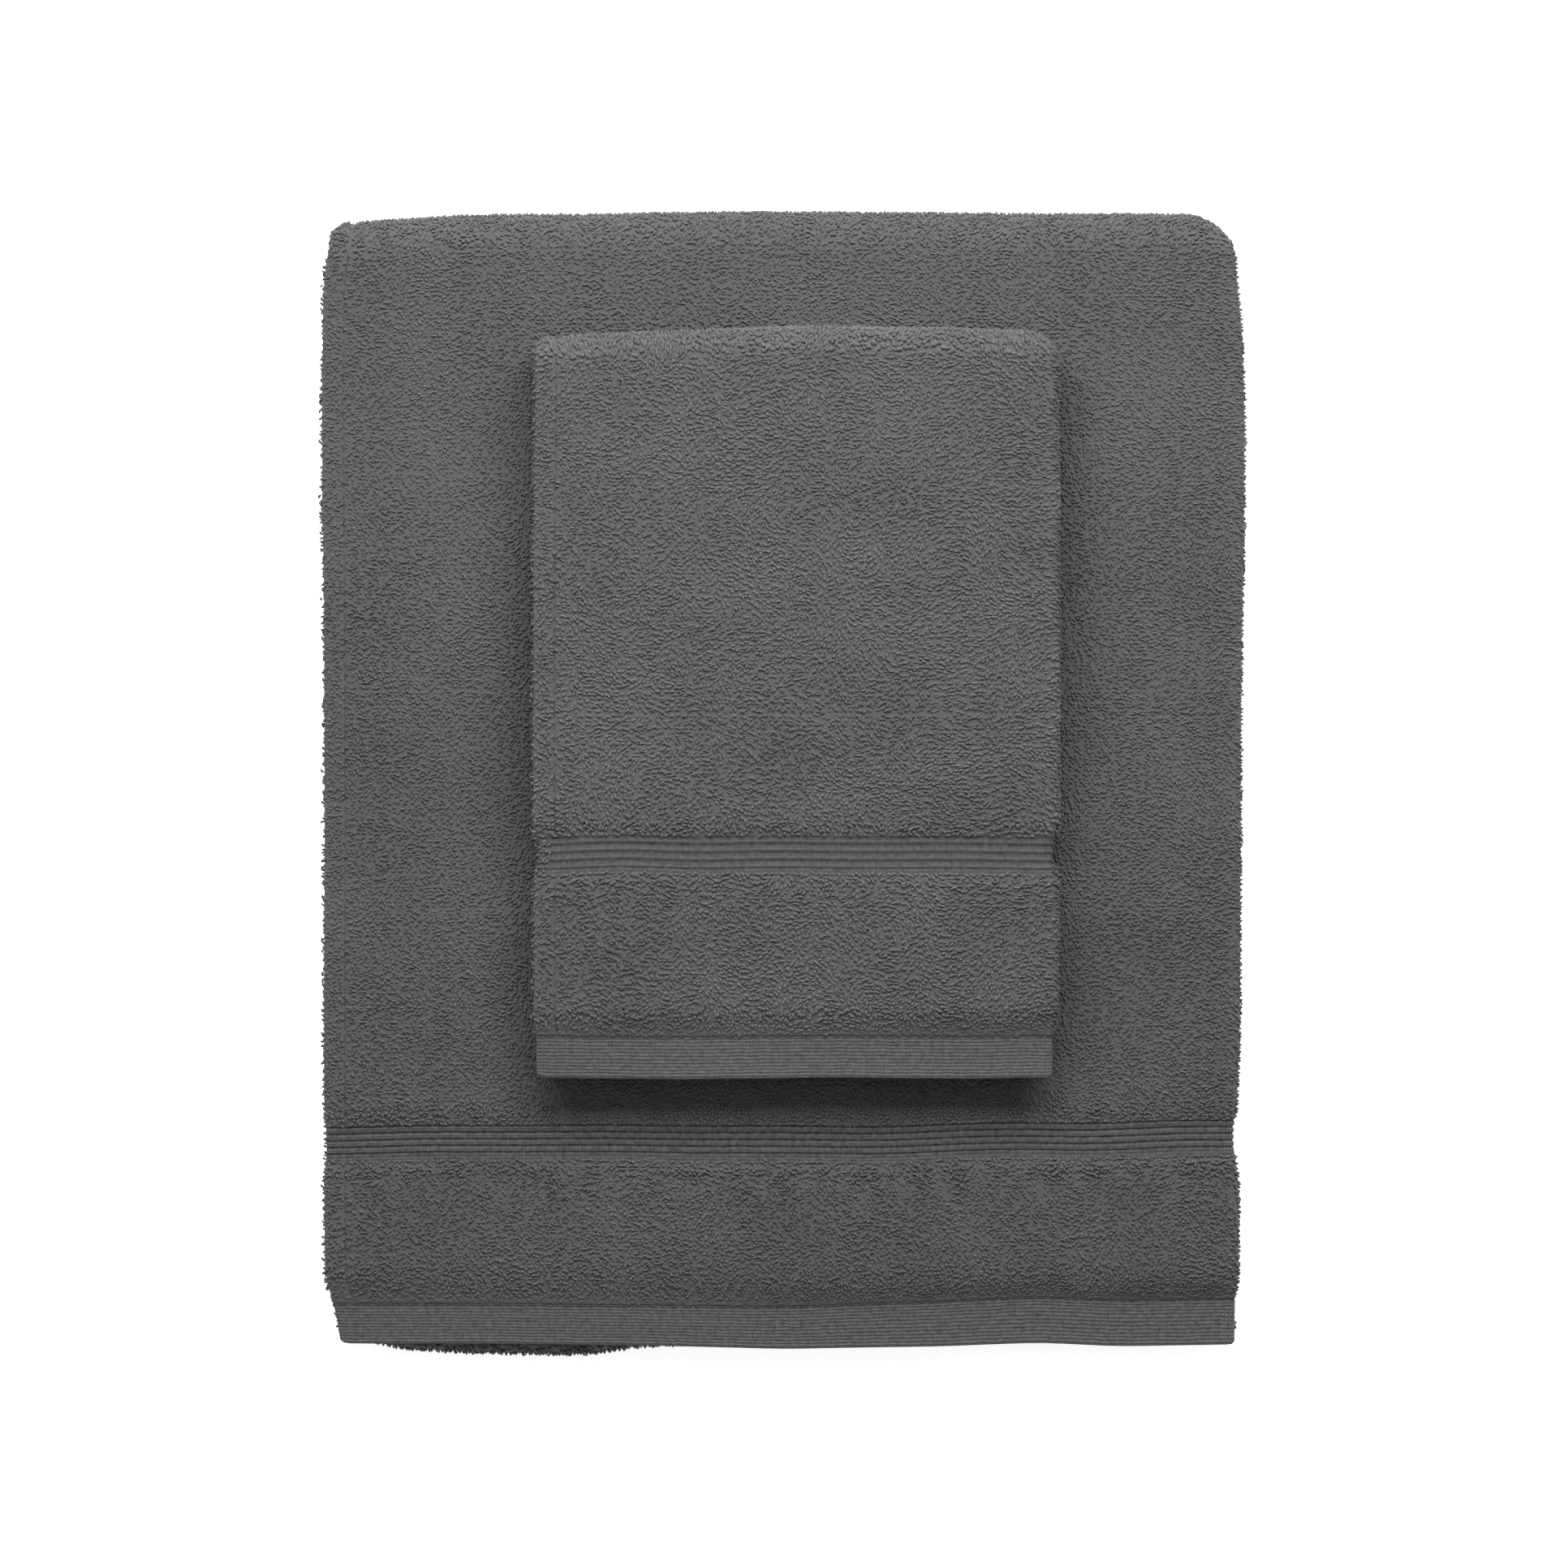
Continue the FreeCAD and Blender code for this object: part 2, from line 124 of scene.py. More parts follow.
def carry(runs, along, lift):
    # the place of a point on the line, pushed lift out of it; on a turn it goes round the
    # turn's middle at radius + lift
    y = np.zeros(np.broadcast(along, lift).shape)
    z = np.zeros_like(y)
    for number, run in enumerate(runs):
        past = along - run["from"]
        inside = past >= 0 if number else np.ones_like(past, bool)
        radius = run["radius"]
        if radius:
            heading = run["heading"] + past / radius
            onY = run["y"] - radius * np.sin(run["heading"]) + (radius + lift) * np.sin(heading)
            onZ = run["z"] + radius * np.cos(run["heading"]) - (radius + lift) * np.cos(heading)
        else:
            onY = run["y"] + past * np.cos(run["heading"]) + lift * np.sin(run["heading"])
            onZ = run["z"] + past * np.sin(run["heading"]) - lift * np.cos(run["heading"])
        y = np.where(inside, onY, y)
        z = np.where(inside, onZ, z)
    return y, z


def doubled(towel, across, lift):
    # the cloth's width as a hairpin: straight, half a turn on the folded side, straight back
    radius = towel["ply"] / 2
    bend = radius * quarterTurn
    turn = np.clip(across, -bend, bend) / radius
    straight = np.maximum(np.abs(across) - bend, 0)
    x = towel["turnX"] + (radius + lift) * np.cos(turn) - straight
    return x, (radius + lift) * np.sin(turn)


def roundCorner(x, y, cornerX, cornerY, radius):
    # the corner's square is squeezed into a quarter disc
    sideX = np.sign(cornerX - 0.5 * (x.min() + x.max()))
    sideY = np.sign(cornerY)
    u = np.clip(sideX * (x - cornerX) + radius, 0, radius) / radius
    v = np.clip(sideY * (y - cornerY) + radius, 0, radius) / radius
    newX = x + sideX * radius * (u * np.sqrt(1 - v * v / 2) - u)
    newY = y + sideY * radius * (v * np.sqrt(1 - u * u / 2) - v)
    return newX, newY


def towelFrom(terry, hem, border, choices):
    # zone widths and edges as the frame has them, with this towel's own choices added
    hemLow, hemHigh = span(hem)
    borderLow, borderHigh = span(border)
    terryLow, terryHigh = span(terry)
    towel = dict(choices)
    towel["left"], towel["right"] = terryLow[0], terryHigh[0]
    towel["hemWidth"] = hemHigh[1] - hemLow[1]
    towel["bandEnd"] = borderLow[1] - hemLow[1]
    towel["borderEnd"] = borderHigh[1] - hemLow[1]
    towel["turnX"] = towel["right"] - towel["ply"] / 2 - towel["pile"]
    towel["halfWidth"] = towel["ply"] / 2 * quarterTurn + towel["turnX"] - towel["left"]
    return towel


bathLow, bathHigh = span("bath_base_panel")
topLow, topHigh = span("bath_top_hem")
guestLow, guestHigh = span("guest_lower_panel")
bathPly = span("bath_tucked_panel")[0][2] / 2
guestPly = (span("guest_upper_panel")[0][2] - guestLow[2]) / 2

bath = towelFrom("bath_base_panel", "bath_top_hem", "bath_top_border", {
    "ply": bathPly,              # one layer of cloth with its loops, and the air over it
    "pile": 2.35 * mm,           # half a layer, loops included
    "ground": 1.5 * mm,          # half the woven ground that the loops stand on
    "borderHalf": 1.15 * mm,     # half the border between its ribs
    "ribRise": 0.8 * mm,
    "ribPitch": 2.54 * mm,
    "ribs": 4,
    "groove": 0.6 * mm,
    "hemHalf": 1.35 * mm,
    "sideHem": 8.0 * mm,         # from the open edges to the seam along them
    "hemInset": (0.8 * mm, 0.4 * mm),       # behind the open edges and the folded side
    "borderInset": (0.7 * mm, 0.8 * mm),
    "cornerBackRight": 20 * mm,
    "cornerBackLeft": 6.5 * mm,
    "cornerFront": 5 * mm,
    "uneven": 0.55 * mm,         # how much the top swells
    "loopedEdge": 0.0 * mm,      # loops that go on past the ends of the border
    "ribStep": 0.32 * mm,        # steps of the cloth's grid on ribs, folded-in ribs and turns
    "hiddenRibStep": 0.64 * mm,
    "turnStep": 1.6 * mm,
    "seed": 11,
})
bath["height"] = topHigh[2] + 0.85 * mm

guest = towelFrom("guest_upper_panel", "guest_upper_hem", "guest_upper_border", {
    "ply": guestPly,
    "pile": 2.45 * mm,
    "ground": 1.55 * mm,
    "borderHalf": 1.2 * mm,
    "ribRise": 0.85 * mm,
    "ribPitch": 3.1 * mm,
    "ribs": 4,
    "groove": 0.6 * mm,
    "hemHalf": 1.4 * mm,
    "sideHem": 8.0 * mm,
    "hemInset": (0.9 * mm, 1.8 * mm),
    "borderInset": (1.8 * mm, 2.6 * mm),
    "cornerBackRight": 13 * mm,
    "cornerBackLeft": 5 * mm,
    "cornerFront": 3 * mm,
    "uneven": 0.3 * mm,
    "loopedEdge": 4.5 * mm,
    "ribStep": 0.32 * mm,
    "hiddenRibStep": 0.4 * mm,
    "turnStep": 1.0 * mm,
    "seed": 23,
})
guest["floor"] = guestLow[2]

# The bath towel in thirds: tucked layer, front turn, base, back turn, top layer
bathMiddle = (bathHigh[2] + bathLow[2]) / 2
tuckedEdge = span("bath_tucked_hem")[1][1]
frontLine, backLine = bathLow[1], bathHigh[1]
bath["runs"], bath["length"] = foldPath(tuckedEdge, bathMiddle + 2 * bathPly, np.pi, [
    (tuckedEdge - frontLine, 0),
    (bathPly * np.pi, bathPly),
    (backLine - frontLine, 0),
    (2 * bathPly * np.pi, 2 * bathPly),
    (backLine - topLow[1], 0),
])
bath["topStart"] = bath["runs"][4]["from"]
bath["endSides"] = (1, 1)        # outward is up at both hems

# The guest towel in half: lower layer, back turn, upper layer.
guestMiddle = (guestLow[2] + guestHigh[2]) / 2
lowerEdge = span("guest_lower_hem")[0][1]
upperEdge = span("guest_upper_hem")[0][1]
guestLine = span("guest_back_fold")[0][1]
guest["runs"], guest["length"] = foldPath(lowerEdge, guestMiddle, 2 * np.pi, [
    (guestLine - lowerEdge, 0),
    (guestPly * np.pi, guestPly),
    (guestLine - upperEdge, 0),
])
guest["topStart"] = guest["runs"][2]["from"]
guest["turnStart"] = guest["runs"][1]["from"]
guest["endSides"] = (-1, 1)      # outward is down at the lower hem
guest["hingeZ"] = guestMiddle + guestPly
guest["hingeY"] = guestLine
print("towels measured from the frame")


# How the edges wander from the straight outline, in millimetres: places along the edge, and
# how far inside the frame's edge the cloth lies there.
bathOutline = {
    "left": ([-216, -205, -199, -194, -150, -143, -138, -131, -120, 60, 140, 175, 194, 203, 212],
             [5.5, 4.2, 3.4, 0.2, -0.2, -0.4, 0.4, 0.0, -0.2, -0.1, -1.2, -0.6, -0.6, 1.0, 3.2]),
    "right": ([-216, -205, -200, -194, -150, -143, -138, -131, -122,
               -90, 20, 90, 141, 172, 187, 197, 212],
              [1.8, 1.6, 2.2, 1.0, 0.9, 2.3, 3.0, 2.2, 1.4,
               0.3, 0.0, -1.0, -1.5, -0.5, 0.9, 2.4, 1.6]),
    "back": ([-170, -150, -120, -80, -20, 60, 140, 170],
             [1.2, 0.0, -1.8, -2.0, -3.0, -2.5, -2.1, -1.6]),
    "fold": ([-170, -155, -120, -80, -60, 0, 90, 130, 170],
             [4.0, -0.6, -2.5, -2.9, 0.0, 2.6, 4.2, 2.6, 3.0]),
    "hem": ([-170, -120, -60, 0, 60, 100, 130, 170],
            [-0.3, -0.2, -0.8, -2.4, -1.6, -0.2, -1.6, -0.8]),
}
guestOutline = {
    "left": ([-112, -90, 0, 100, 174], [0.0, 0.2, 0.0, 0.1, 0.8]),
    "right": ([-112, -30, 60, 174], [0.4, 0.2, 0.0, 0.4]),
    "back": ([-95, -60, 10, 60, 105], [4.6, 2.6, 0.2, 0.9, 2.4]),
    "hem": ([-95, -40, 20, 70, 105], [0.2, -0.4, 0.3, -0.2, 0.4]),
}


def inside(outline, edge, place):
    # a smooth curve along the edge's few points, in metres
    places, depths = outline[edge]
    fine = np.linspace(places[0], places[-1], 160)
    rough = np.interp(fine, places, depths)
    kernel = np.hanning(15)
    smooth = np.convolve(np.pad(rough, 7, mode="edge"), kernel / kernel.sum(), mode="valid")
    return np.interp(place / mm, fine, smooth) * mm


bathLie = {
    "sideSwell": 0.9 * mm,       # how far the folded side and the back fold stand proud
    "backSwell": 0.7 * mm,
    "edgeDrop": 1.7 * mm,        # how far the open edges sink, and from how far in
    "edgeReach": 24 * mm,
    "bedDepth": 0.9 * mm,        # the bed that the guest towel presses, and its slopes
    "bedOut": 12 * mm,
    "bedIn": 14 * mm,
    "bedCalm": 0.85,
    "innerTop": 19.2 * mm,       # over this come the layers that end in the top hem
    "outerBase": 20.8 * mm,
    "borderPlace": -137 * mm,
    "climbRight": 2.2 * mm,      # how far the border climbs, and how much wider the hem gets
    "climbLeft": 0.9 * mm,
    "hemSeam": -201 * mm,
    "hemWider": 2.9 * mm,
    "layerOff": 0.5 * mm,        # how far each layer's edges lie off the next one's
    "clearance": 0.1 * mm,       # over the surface that it lies on
    "sideDraw": 120 * mm,        # the outline draws the cloth in from here: off the middle,
    "backDraw": 60 * mm,         # and towards the back and the front
    "frontDraw": 90 * mm,
    "borderReach": 26 * mm,      # how far the climb and the widening spread along the cloth
    "hemReach": 8 * mm,
}
guestLie = {                     # the same for the guest towel, with draws from its edges
    "sideSwell": 0.5 * mm,
    "backSwell": 0.3 * mm,
    "borderPlace": -27 * mm,
    "borderWander": 0.3 * mm,
    "hemSeam": -98 * mm,
    "hemWider": 1.0 * mm,
    "sideDraw": 70 * mm,
    "backDraw": 80 * mm,
    "frontDraw": 50 * mm,
    "borderReach": 20 * mm,
    "hemReach": 7 * mm,
}
gathers = 0.26 * mm              # how tall they are, and how far they lie from the border
gathersOff = 13 * mm


def bathRise(x, y):
    # how much the bath towel's top swells or sinks from flat
    swell = softNoise(x, y, 150 * mm, 5) + 0.4 * softNoise(x, y, 60 * mm, 6)
    rise = bath["uneven"] * swell
    rise += bathLie["sideSwell"] * bell(x, bath["right"] - 14 * mm, 16 * mm)
    rise += bathLie["backSwell"] * bell(y, cadBox[1][1] - 18 * mm, 20 * mm)
    reach = bathLie["edgeReach"]
    rise -= bathLie["edgeDrop"] * ease(bath["left"] + reach - x, 0, reach)
    # the guest towel's weight presses a shallow bed, out to the back where it opens
    before, after = bathLie["bedOut"], bathLie["bedIn"]
    bed = ease(x, guest["left"] - before, guest["left"] + after)
    bed = bed * ease(-x, -guest["right"] - before, -guest["right"] + after)
    bed = bed * ease(y, upperEdge - before, upperEdge + after)
    return rise * (1 - bathLie["bedCalm"] * bed) - bathLie["bedDepth"] * bed


def settleBath(x, y, z):
    # edges are drawn in by the outline, layer by layer, and the top swells with its height
    share = np.clip(z / bath["height"], 0, 1.1)
    top = ease(z, bathLie["innerTop"], bathLie["outerBase"])
    middleX = (bath["left"] + bath["right"]) / 2
    toRight = ease(x, middleX - bathLie["sideDraw"], bath["right"])
    toLeft = ease(-x, -middleX - bathLie["sideDraw"], -bath["left"])
    toBack = ease(y, bathLie["backDraw"], backLine)
    toFront = ease(-y, bathLie["frontDraw"], -frontLine)
    newX = x + toLeft * inside(bathOutline, "left", y) - toRight * inside(bathOutline, "right", y)
    frontIn = inside(bathOutline, "fold", x) * (1 - top) + inside(bathOutline, "hem", x) * top
    newY = y - toBack * inside(bathOutline, "back", x) + toFront * frontIn
    # each layer's edges lie a little off the next one's
    layer = np.sin(z / bathPly * 2.1 + 0.6)
    off = bathLie["layerOff"]
    newX += toLeft * layer * (off + off * softNoise(y, z * 0.4, 90 * mm, 8)) * (1 - top)
    newX -= toRight * (1 - top) * (1.2 * off + off * softNoise(y, z * 0.3, 120 * mm, 9))
    # the woven border climbs a little towards the folded side, and wanders
    border = bathLie["borderPlace"]
    climb = bathLie["climbRight"] * ease(x, 20 * mm, bath["right"])
    climb = climb - bathLie["climbLeft"] * ease(-x, 60 * mm, -bath["left"])
    climb = climb + 0.2 * mm * softNoise(x, 0 * y, 70 * mm, 13)
    newY = newY + top * climb * bell(y, border, bathLie["borderReach"])
    # and the turned hem gets wider that way
    wider = bathLie["hemWider"] * ease(x, -80 * mm, 110 * mm)
    newY = newY + top * wider * bell(y, bathLie["hemSeam"], bathLie["hemReach"])
    newZ = z + share * bathRise(x, y) + top * pucker(x, y, border, 14)
    # nothing reaches through the surface it lies on
    newZ = np.maximum(newZ, bathLie["clearance"] + 0.05 * newZ)
    return newX, newY, newZ


def pucker(x, y, borderY, seed):
    # small gathers where the loops start again beside the border
    gather = softNoise(x, 0.45 * y, 13 * mm, seed)
    near = bell(y, borderY - gathersOff, 7 * mm) + 0.6 * bell(y, borderY + gathersOff, 6 * mm)
    return gathers * gather * near


def settleGuest(x, y, z):
    # the same for the guest towel, which also follows the rise of the bath towel under it
    share = np.clip((z - guest["floor"]) / (4 * guestPly), 0, 1.1)
    toRight = ease(x, guest["right"] - guestLie["sideDraw"], guest["right"])
    toLeft = ease(-x, -guest["left"] - guestLie["sideDraw"], -guest["left"])
    toBack = ease(y, guestLine - guestLie["backDraw"], guestLine)
    toFront = ease(-y, -upperEdge - guestLie["frontDraw"], -upperEdge)
    newX = x + toLeft * inside(guestOutline, "left", y) - toRight * inside(guestOutline, "right", y)
    newY = y - toBack * inside(guestOutline, "back", x) + toFront * inside(guestOutline, "hem", x)
    swell = softNoise(x, y, 110 * mm, 31) + 0.5 * softNoise(x, y, 45 * mm, 32)
    rise = guest["uneven"] * swell
    rise += guestLie["sideSwell"] * bell(x, guest["right"] - 10 * mm, 12 * mm)
    rise += guestLie["backSwell"] * bell(y, guestLine - 2 * mm, 14 * mm)
    newZ = z + share * rise + bathRise(x, y)
    upper = ease(z, guest["hingeZ"] + 1 * mm, guest["hingeZ"] + 3 * mm)
    border = guestLie["borderPlace"]
    wander = guestLie["borderWander"] * softNoise(x, 0 * y, 60 * mm, 33)
    newY = newY + upper * wander * bell(y, border, guestLie["borderReach"])
    byHem = bell(y, guestLie["hemSeam"], guestLie["hemReach"])
    newY = newY + upper * guestLie["hemWider"] * byHem
    newZ = newZ + upper * pucker(x, y, border, 34)
    return newX, newY, newZ


bath["settle"] = settleBath
guest["settle"] = settleGuest


def fromHem(towel, along):
    # how far along the cloth from the nearer of its two hem edges
    return np.minimum(along, towel["length"] - along)


def isTerry(towel, across, along):
    # the turned side hems carry their loops on past the ends of the border
    near = fromHem(towel, along)
    pastHem = near > towel["hemWidth"] + 0.2 * mm
    turnedIn = pastHem & (towel["halfWidth"] - np.abs(across) < towel["loopedEdge"])
    band = pastHem & (near < towel["bandEnd"] + 0.9 * mm)
    return band | turnedIn | (near > towel["borderEnd"] + 0.2 * mm)


def clothToneWithPaintedLight(towel, across, along):
    # how light the woven cloth is, with painted shade: dark between the loops, in the grooves and
    # along the seams
    near = fromHem(towel, along)
    half = halfThickness(towel, 0 * across, along)
    inBorder = (near > towel["bandEnd"]) & (near < towel["borderEnd"])
    ribHeight = (half - towel["borderHalf"]) / towel["ribRise"]
    # painted shade: the ground between the loops and the grooves between the ribs are darker
    tone = np.where(inBorder, 0.1 + 0.45 * ribHeight, 0.2)
    inHem = near < towel["hemWidth"]
    # painted highlight along the hem's rounded outer edge, and painted shade where the hem meets the
    # loops
    hemTone = 0.5 + 0.22 * bell(near, 0, 1.5 * mm) - 0.15 * bell(near, towel["hemWidth"], 1.2 * mm)
    return np.clip(np.where(inHem, hemTone, tone), 0, 1)


def flatness(towel, along):
    # 1 where the cloth has no loops and lies flat, easing off into the terry
    near = fromHem(towel, along)
    hem = 1 - ease(near, towel["hemWidth"] - 2 * mm, towel["hemWidth"] + 11 * mm)
    borderMiddle = (towel["bandEnd"] + towel["borderEnd"]) / 2
    half = (towel["borderEnd"] - towel["bandEnd"]) / 2
    border = 1 - ease(np.abs(near - borderMiddle), half - 3 * mm, half + 4 * mm)
    return hem, border


sewn = {
    "fromHemEnd": 0.5 * mm,      # the seam runs this far inside the turned hem
    "hemGroove": 0.3 * mm,       # how deep the seams sink, and half their width
    "hemGrooveWidth": 0.5 * mm,
    "sideGroove": 0.5 * mm,
    "sideGrooveWidth": 0.6 * mm,
    "hemRim": 1.3 * mm,          # how far in from the edge the cloth rounds off
    "sideRim": 1.1 * mm,
    "thinnest": 0.06,
    "corner": 2.6 * mm,
    "hemSink": 0.75,             # how far flat zones sink, as a share of the missing loops
    "borderSink": 0.35,
}


def halfThickness(towel, across, along):
    # half the woven cloth: ground, ribs, turned hem, with rounded rims and sunken seams
    near = fromHem(towel, along)
    half = np.full(np.broadcast(across, along).shape, towel["ground"])
    inHem = near < towel["hemWidth"]
    half = np.where(inHem, towel["hemHalf"], half)
    # the ribs fill the border up to its far end, and a flat strip is left before them
    intoRibs = near - towel["borderEnd"] + towel["ribs"] * towel["ribPitch"] + towel["groove"]
    wave = np.abs(np.sin(np.pi * (intoRibs - towel["groove"] / 2) / towel["ribPitch"]))
    ribbed = towel["borderHalf"] + towel["ribRise"] * wave ** 0.55
    strip = towel["borderHalf"] + towel["ribRise"] * 0.8
    border = np.where(intoRibs < towel["groove"] / 2, strip, ribbed)
    inBorder = (near > towel["bandEnd"]) & (near < towel["borderEnd"])
    half = np.where(inBorder, border, half)
    seam = towel["hemWidth"] - sewn["fromHemEnd"]
    half = half - sewn["hemGroove"] * bell(near, seam, sewn["hemGrooveWidth"])
    fromSide = towel["halfWidth"] - np.abs(across)
    sideSeam = bell(fromSide, towel["sideHem"], sewn["sideGrooveWidth"])
    half = half - sewn["sideGroove"] * sideSeam * (1 - inHem)
    rim = np.minimum(near / sewn["hemRim"], fromSide / sewn["sideRim"])
    rim = np.clip(rim, sewn["thinnest"], 1)
    return half * np.sqrt(1 - (1 - rim) ** 2)


def roundHemEnds(towel, across, along):
    # the sewn corners of the cloth: the last square of each is squeezed into a quarter disc
    radius = sewn["corner"]
    u = np.clip(1 - (towel["halfWidth"] - np.abs(across)) / radius, 0, 1)
    v = np.clip(1 - fromHem(towel, along) / radius, 0, 1)
    towardsEnd = np.where(along < towel["length"] / 2, -1, 1)
    across = across - np.sign(across) * radius * u * (1 - np.sqrt(1 - v * v / 2))
    along = along - towardsEnd * radius * v * (1 - np.sqrt(1 - u * u / 2))
    return across, along


cornerKinds = [("right", "backY", "cornerBackRight"), ("left", "backY", "cornerBackLeft"),
               ("right", "frontY", "cornerFront"), ("left", "frontY", "cornerFront")]


def foldedPlace(towel, across, along, lift):
    # hairpin across the width, then round the folds, then rounded corners, then settled
    across, along, lift = np.broadcast_arrays(across, along, lift)
    across, along = roundHemEnds(towel, across, along)
    x, rise = doubled(towel, across, lift)
    hem, border = flatness(towel, along)
    # flat zones are narrower than the terry beside them
    leftIn = towel["hemInset"][0] * hem + towel["borderInset"][0] * border
    rightIn = towel["hemInset"][1] * hem + towel["borderInset"][1] * border
    share = np.clip((x - towel["left"]) / (towel["right"] - towel["left"]), 0, 1)
    x = x + leftIn * (1 - share) ** 3 - rightIn * share ** 3
    # and their thin layers sink onto what is under them
    side = np.where(along < towel["length"] / 2, towel["endSides"][0], towel["endSides"][1])
    thin = towel["pile"] - towel["hemHalf"]
    sink = thin * (sewn["hemSink"] * hem + sewn["borderSink"] * border)
    rise = rise - side * sink * (2 + side * rise / (towel["ply"] / 2))
    y, z = carry(towel["runs"], along, rise)
    for edge, end, radius in cornerKinds:
        x, y = roundCorner(x, y, towel[edge], towel[end], towel[radius])
    x, y, z = towel["settle"](x, y, z)
    return np.stack([x, y, z], -1)


bath["backY"], bath["frontY"] = cadBox[1][1], cadBox[0][1]
guest["backY"], guest["frontY"] = span("guest_back_fold")[1][1], upperEdge


def nodeOf(tree, kind, **values):
    # a new shader node; a value goes to the input of its name, or else to the setting
    node = tree.nodes.new(kind)
    for key, value in values.items():
        if key in node.inputs:
            node.inputs[key].default_value = value
        else:
            setattr(node, key, value)
    return node


def setInputs(node, values):
    for key, value in values.items():
        node.inputs[key].default_value = value


def startMaterial(name, colour, roughness, sheen):
    # matte cotton with a faint sheen
    material = bpy.data.materials.new(name)
    material.use_nodes = True
    material.diffuse_color = (*colour, 1)
    tree = material.node_tree
    shader = tree.nodes["Principled BSDF"]
    setInputs(shader, {"Roughness": roughness, "Specular IOR Level": 0.18, "Sheen Weight": sheen,
                       "Sheen Roughness": 0.45, "Sheen Tint": (0.86, 0.86, 0.88, 1)})
    return material, tree, shader


def mathOn(tree, operation, *values, clamp=False):
    # a sum or product of outputs and numbers
    node = nodeOf(tree, "ShaderNodeMath", operation=operation, use_clamp=clamp)
    for place, value in enumerate(values):
        if isinstance(value, float):
            node.inputs[place].default_value = value
        else:
            tree.links.new(value, node.inputs[place])
    return node.outputs[0]


def mixColour(tree, factor, dark, light):
    # dark at factor 0, light at 1
    mix = tree.nodes.new("ShaderNodeMix")
    mix.data_type = "RGBA"
    mix.inputs["A"].default_value = (*dark, 1)
    mix.inputs["B"].default_value = (*light, 1)
    tree.links.new(factor, mix.inputs["Factor"])
    return mix.outputs["Result"]


yarn = {
    "bathDark": (0.050, 0.050, 0.0504),
    "bathLight": (0.100, 0.100, 0.101),
    "guestDark": (0.051, 0.051, 0.0514),
    "guestLight": (0.107, 0.107, 0.108),
    "roughness": 0.95,
    "sheen": 0.12,
    "fibreShare": 0.45,          # how much the fibres change a loop's own tone
    "crossingShare": 0.55,       # the same for the crossings of a flat weave
    "weaveMiddle": 0.65,
}


def pileMaterial(name, dark, light):
    # cotton loops: each has its own tone, with painted shade at its roots and on the ground between
    # loops, and fine fibres run over it
    middle = tuple((a + b) / 2 for a, b in zip(dark, light))
    material, tree, shader = startMaterial(name, middle, yarn["roughness"], yarn["sheen"])
    join = tree.links.new
    # the tone attribute carries the painted shade along with each loop's own tone
    tone = nodeOf(tree, "ShaderNodeAttribute", attribute_name="tone")
    place = tree.nodes.new("ShaderNodeTexCoord")
    fibres = nodeOf(tree, "ShaderNodeTexNoise", Scale=2600.0, Detail=3.0, Roughness=0.6)
    join(place.outputs["Object"], fibres.inputs["Vector"])
    share = yarn["fibreShare"]
    blend = mathOn(tree, "MULTIPLY_ADD", fibres.outputs["Fac"], share, tone.outputs["Fac"])
    shift = mathOn(tree, "SUBTRACT", blend, share / 2)
    join(mixColour(tree, shift, dark, light), shader.inputs["Base Color"])
    bump = nodeOf(tree, "ShaderNodeBump", Strength=0.35, Distance=0.0003)
    join(fibres.outputs["Fac"], bump.inputs["Height"])
    join(bump.outputs["Normal"], shader.inputs["Normal"])
    return material


def wovenMaterial(name, dark, light, acrossPitch, alongPitch, relief):
    # flat weave: warp and weft waves on the cloth's own UV map, a little uneven
    middle = tuple((a + b) / 2 for a, b in zip(dark, light))
    material, tree, shader = startMaterial(name, middle, 0.9, 0.08)
    join = tree.links.new
    cloth = nodeOf(tree, "ShaderNodeUVMap", uv_map="cloth")
    wobble = nodeOf(tree, "ShaderNodeTexNoise", Scale=220.0, Detail=2.0)
    join(cloth.outputs["UV"], wobble.inputs["Vector"])
    nudge = nodeOf(tree, "ShaderNodeVectorMath", operation="MULTIPLY_ADD")
    nudge.inputs[1].default_value = (0.0007, 0.0007, 0)
    join(wobble.outputs["Color"], nudge.inputs[0])
    join(cloth.outputs["UV"], nudge.inputs[2])
    waves = []
    for direction, pitch in (("X", acrossPitch), ("Y", alongPitch)):
        wave = nodeOf(tree, "ShaderNodeTexWave", wave_type="BANDS", bands_direction=direction,
                      Scale=2 * np.pi / (20 * pitch), Distortion=0.0)
        join(nudge.outputs["Vector"], wave.inputs["Vector"])
        waves.append(wave.outputs["Fac"])
    crossing = mathOn(tree, "MULTIPLY", *waves)
    mottle = nodeOf(tree, "ShaderNodeTexNoise", Scale=520.0, Detail=4.0)
    join(cloth.outputs["UV"], mottle.inputs["Vector"])
    tone = mathOn(tree, "MULTIPLY_ADD", crossing, yarn["crossingShare"], mottle.outputs["Fac"])
    # the tone attribute adds painted shade in the grooves and along the seams, and a painted
    # highlight along the hem's edge
    height = nodeOf(tree, "ShaderNodeAttribute", attribute_name="tone")
    lit = mathOn(tree, "ADD", tone, height.outputs["Fac"])
    shift = mathOn(tree, "SUBTRACT", lit, yarn["weaveMiddle"], clamp=True)
    join(mixColour(tree, shift, dark, light), shader.inputs["Base Color"])
    bump = nodeOf(tree, "ShaderNodeBump", Strength=1.0, Distance=relief)
    join(crossing, bump.inputs["Height"])
    join(bump.outputs["Normal"], shader.inputs["Normal"])
    return material


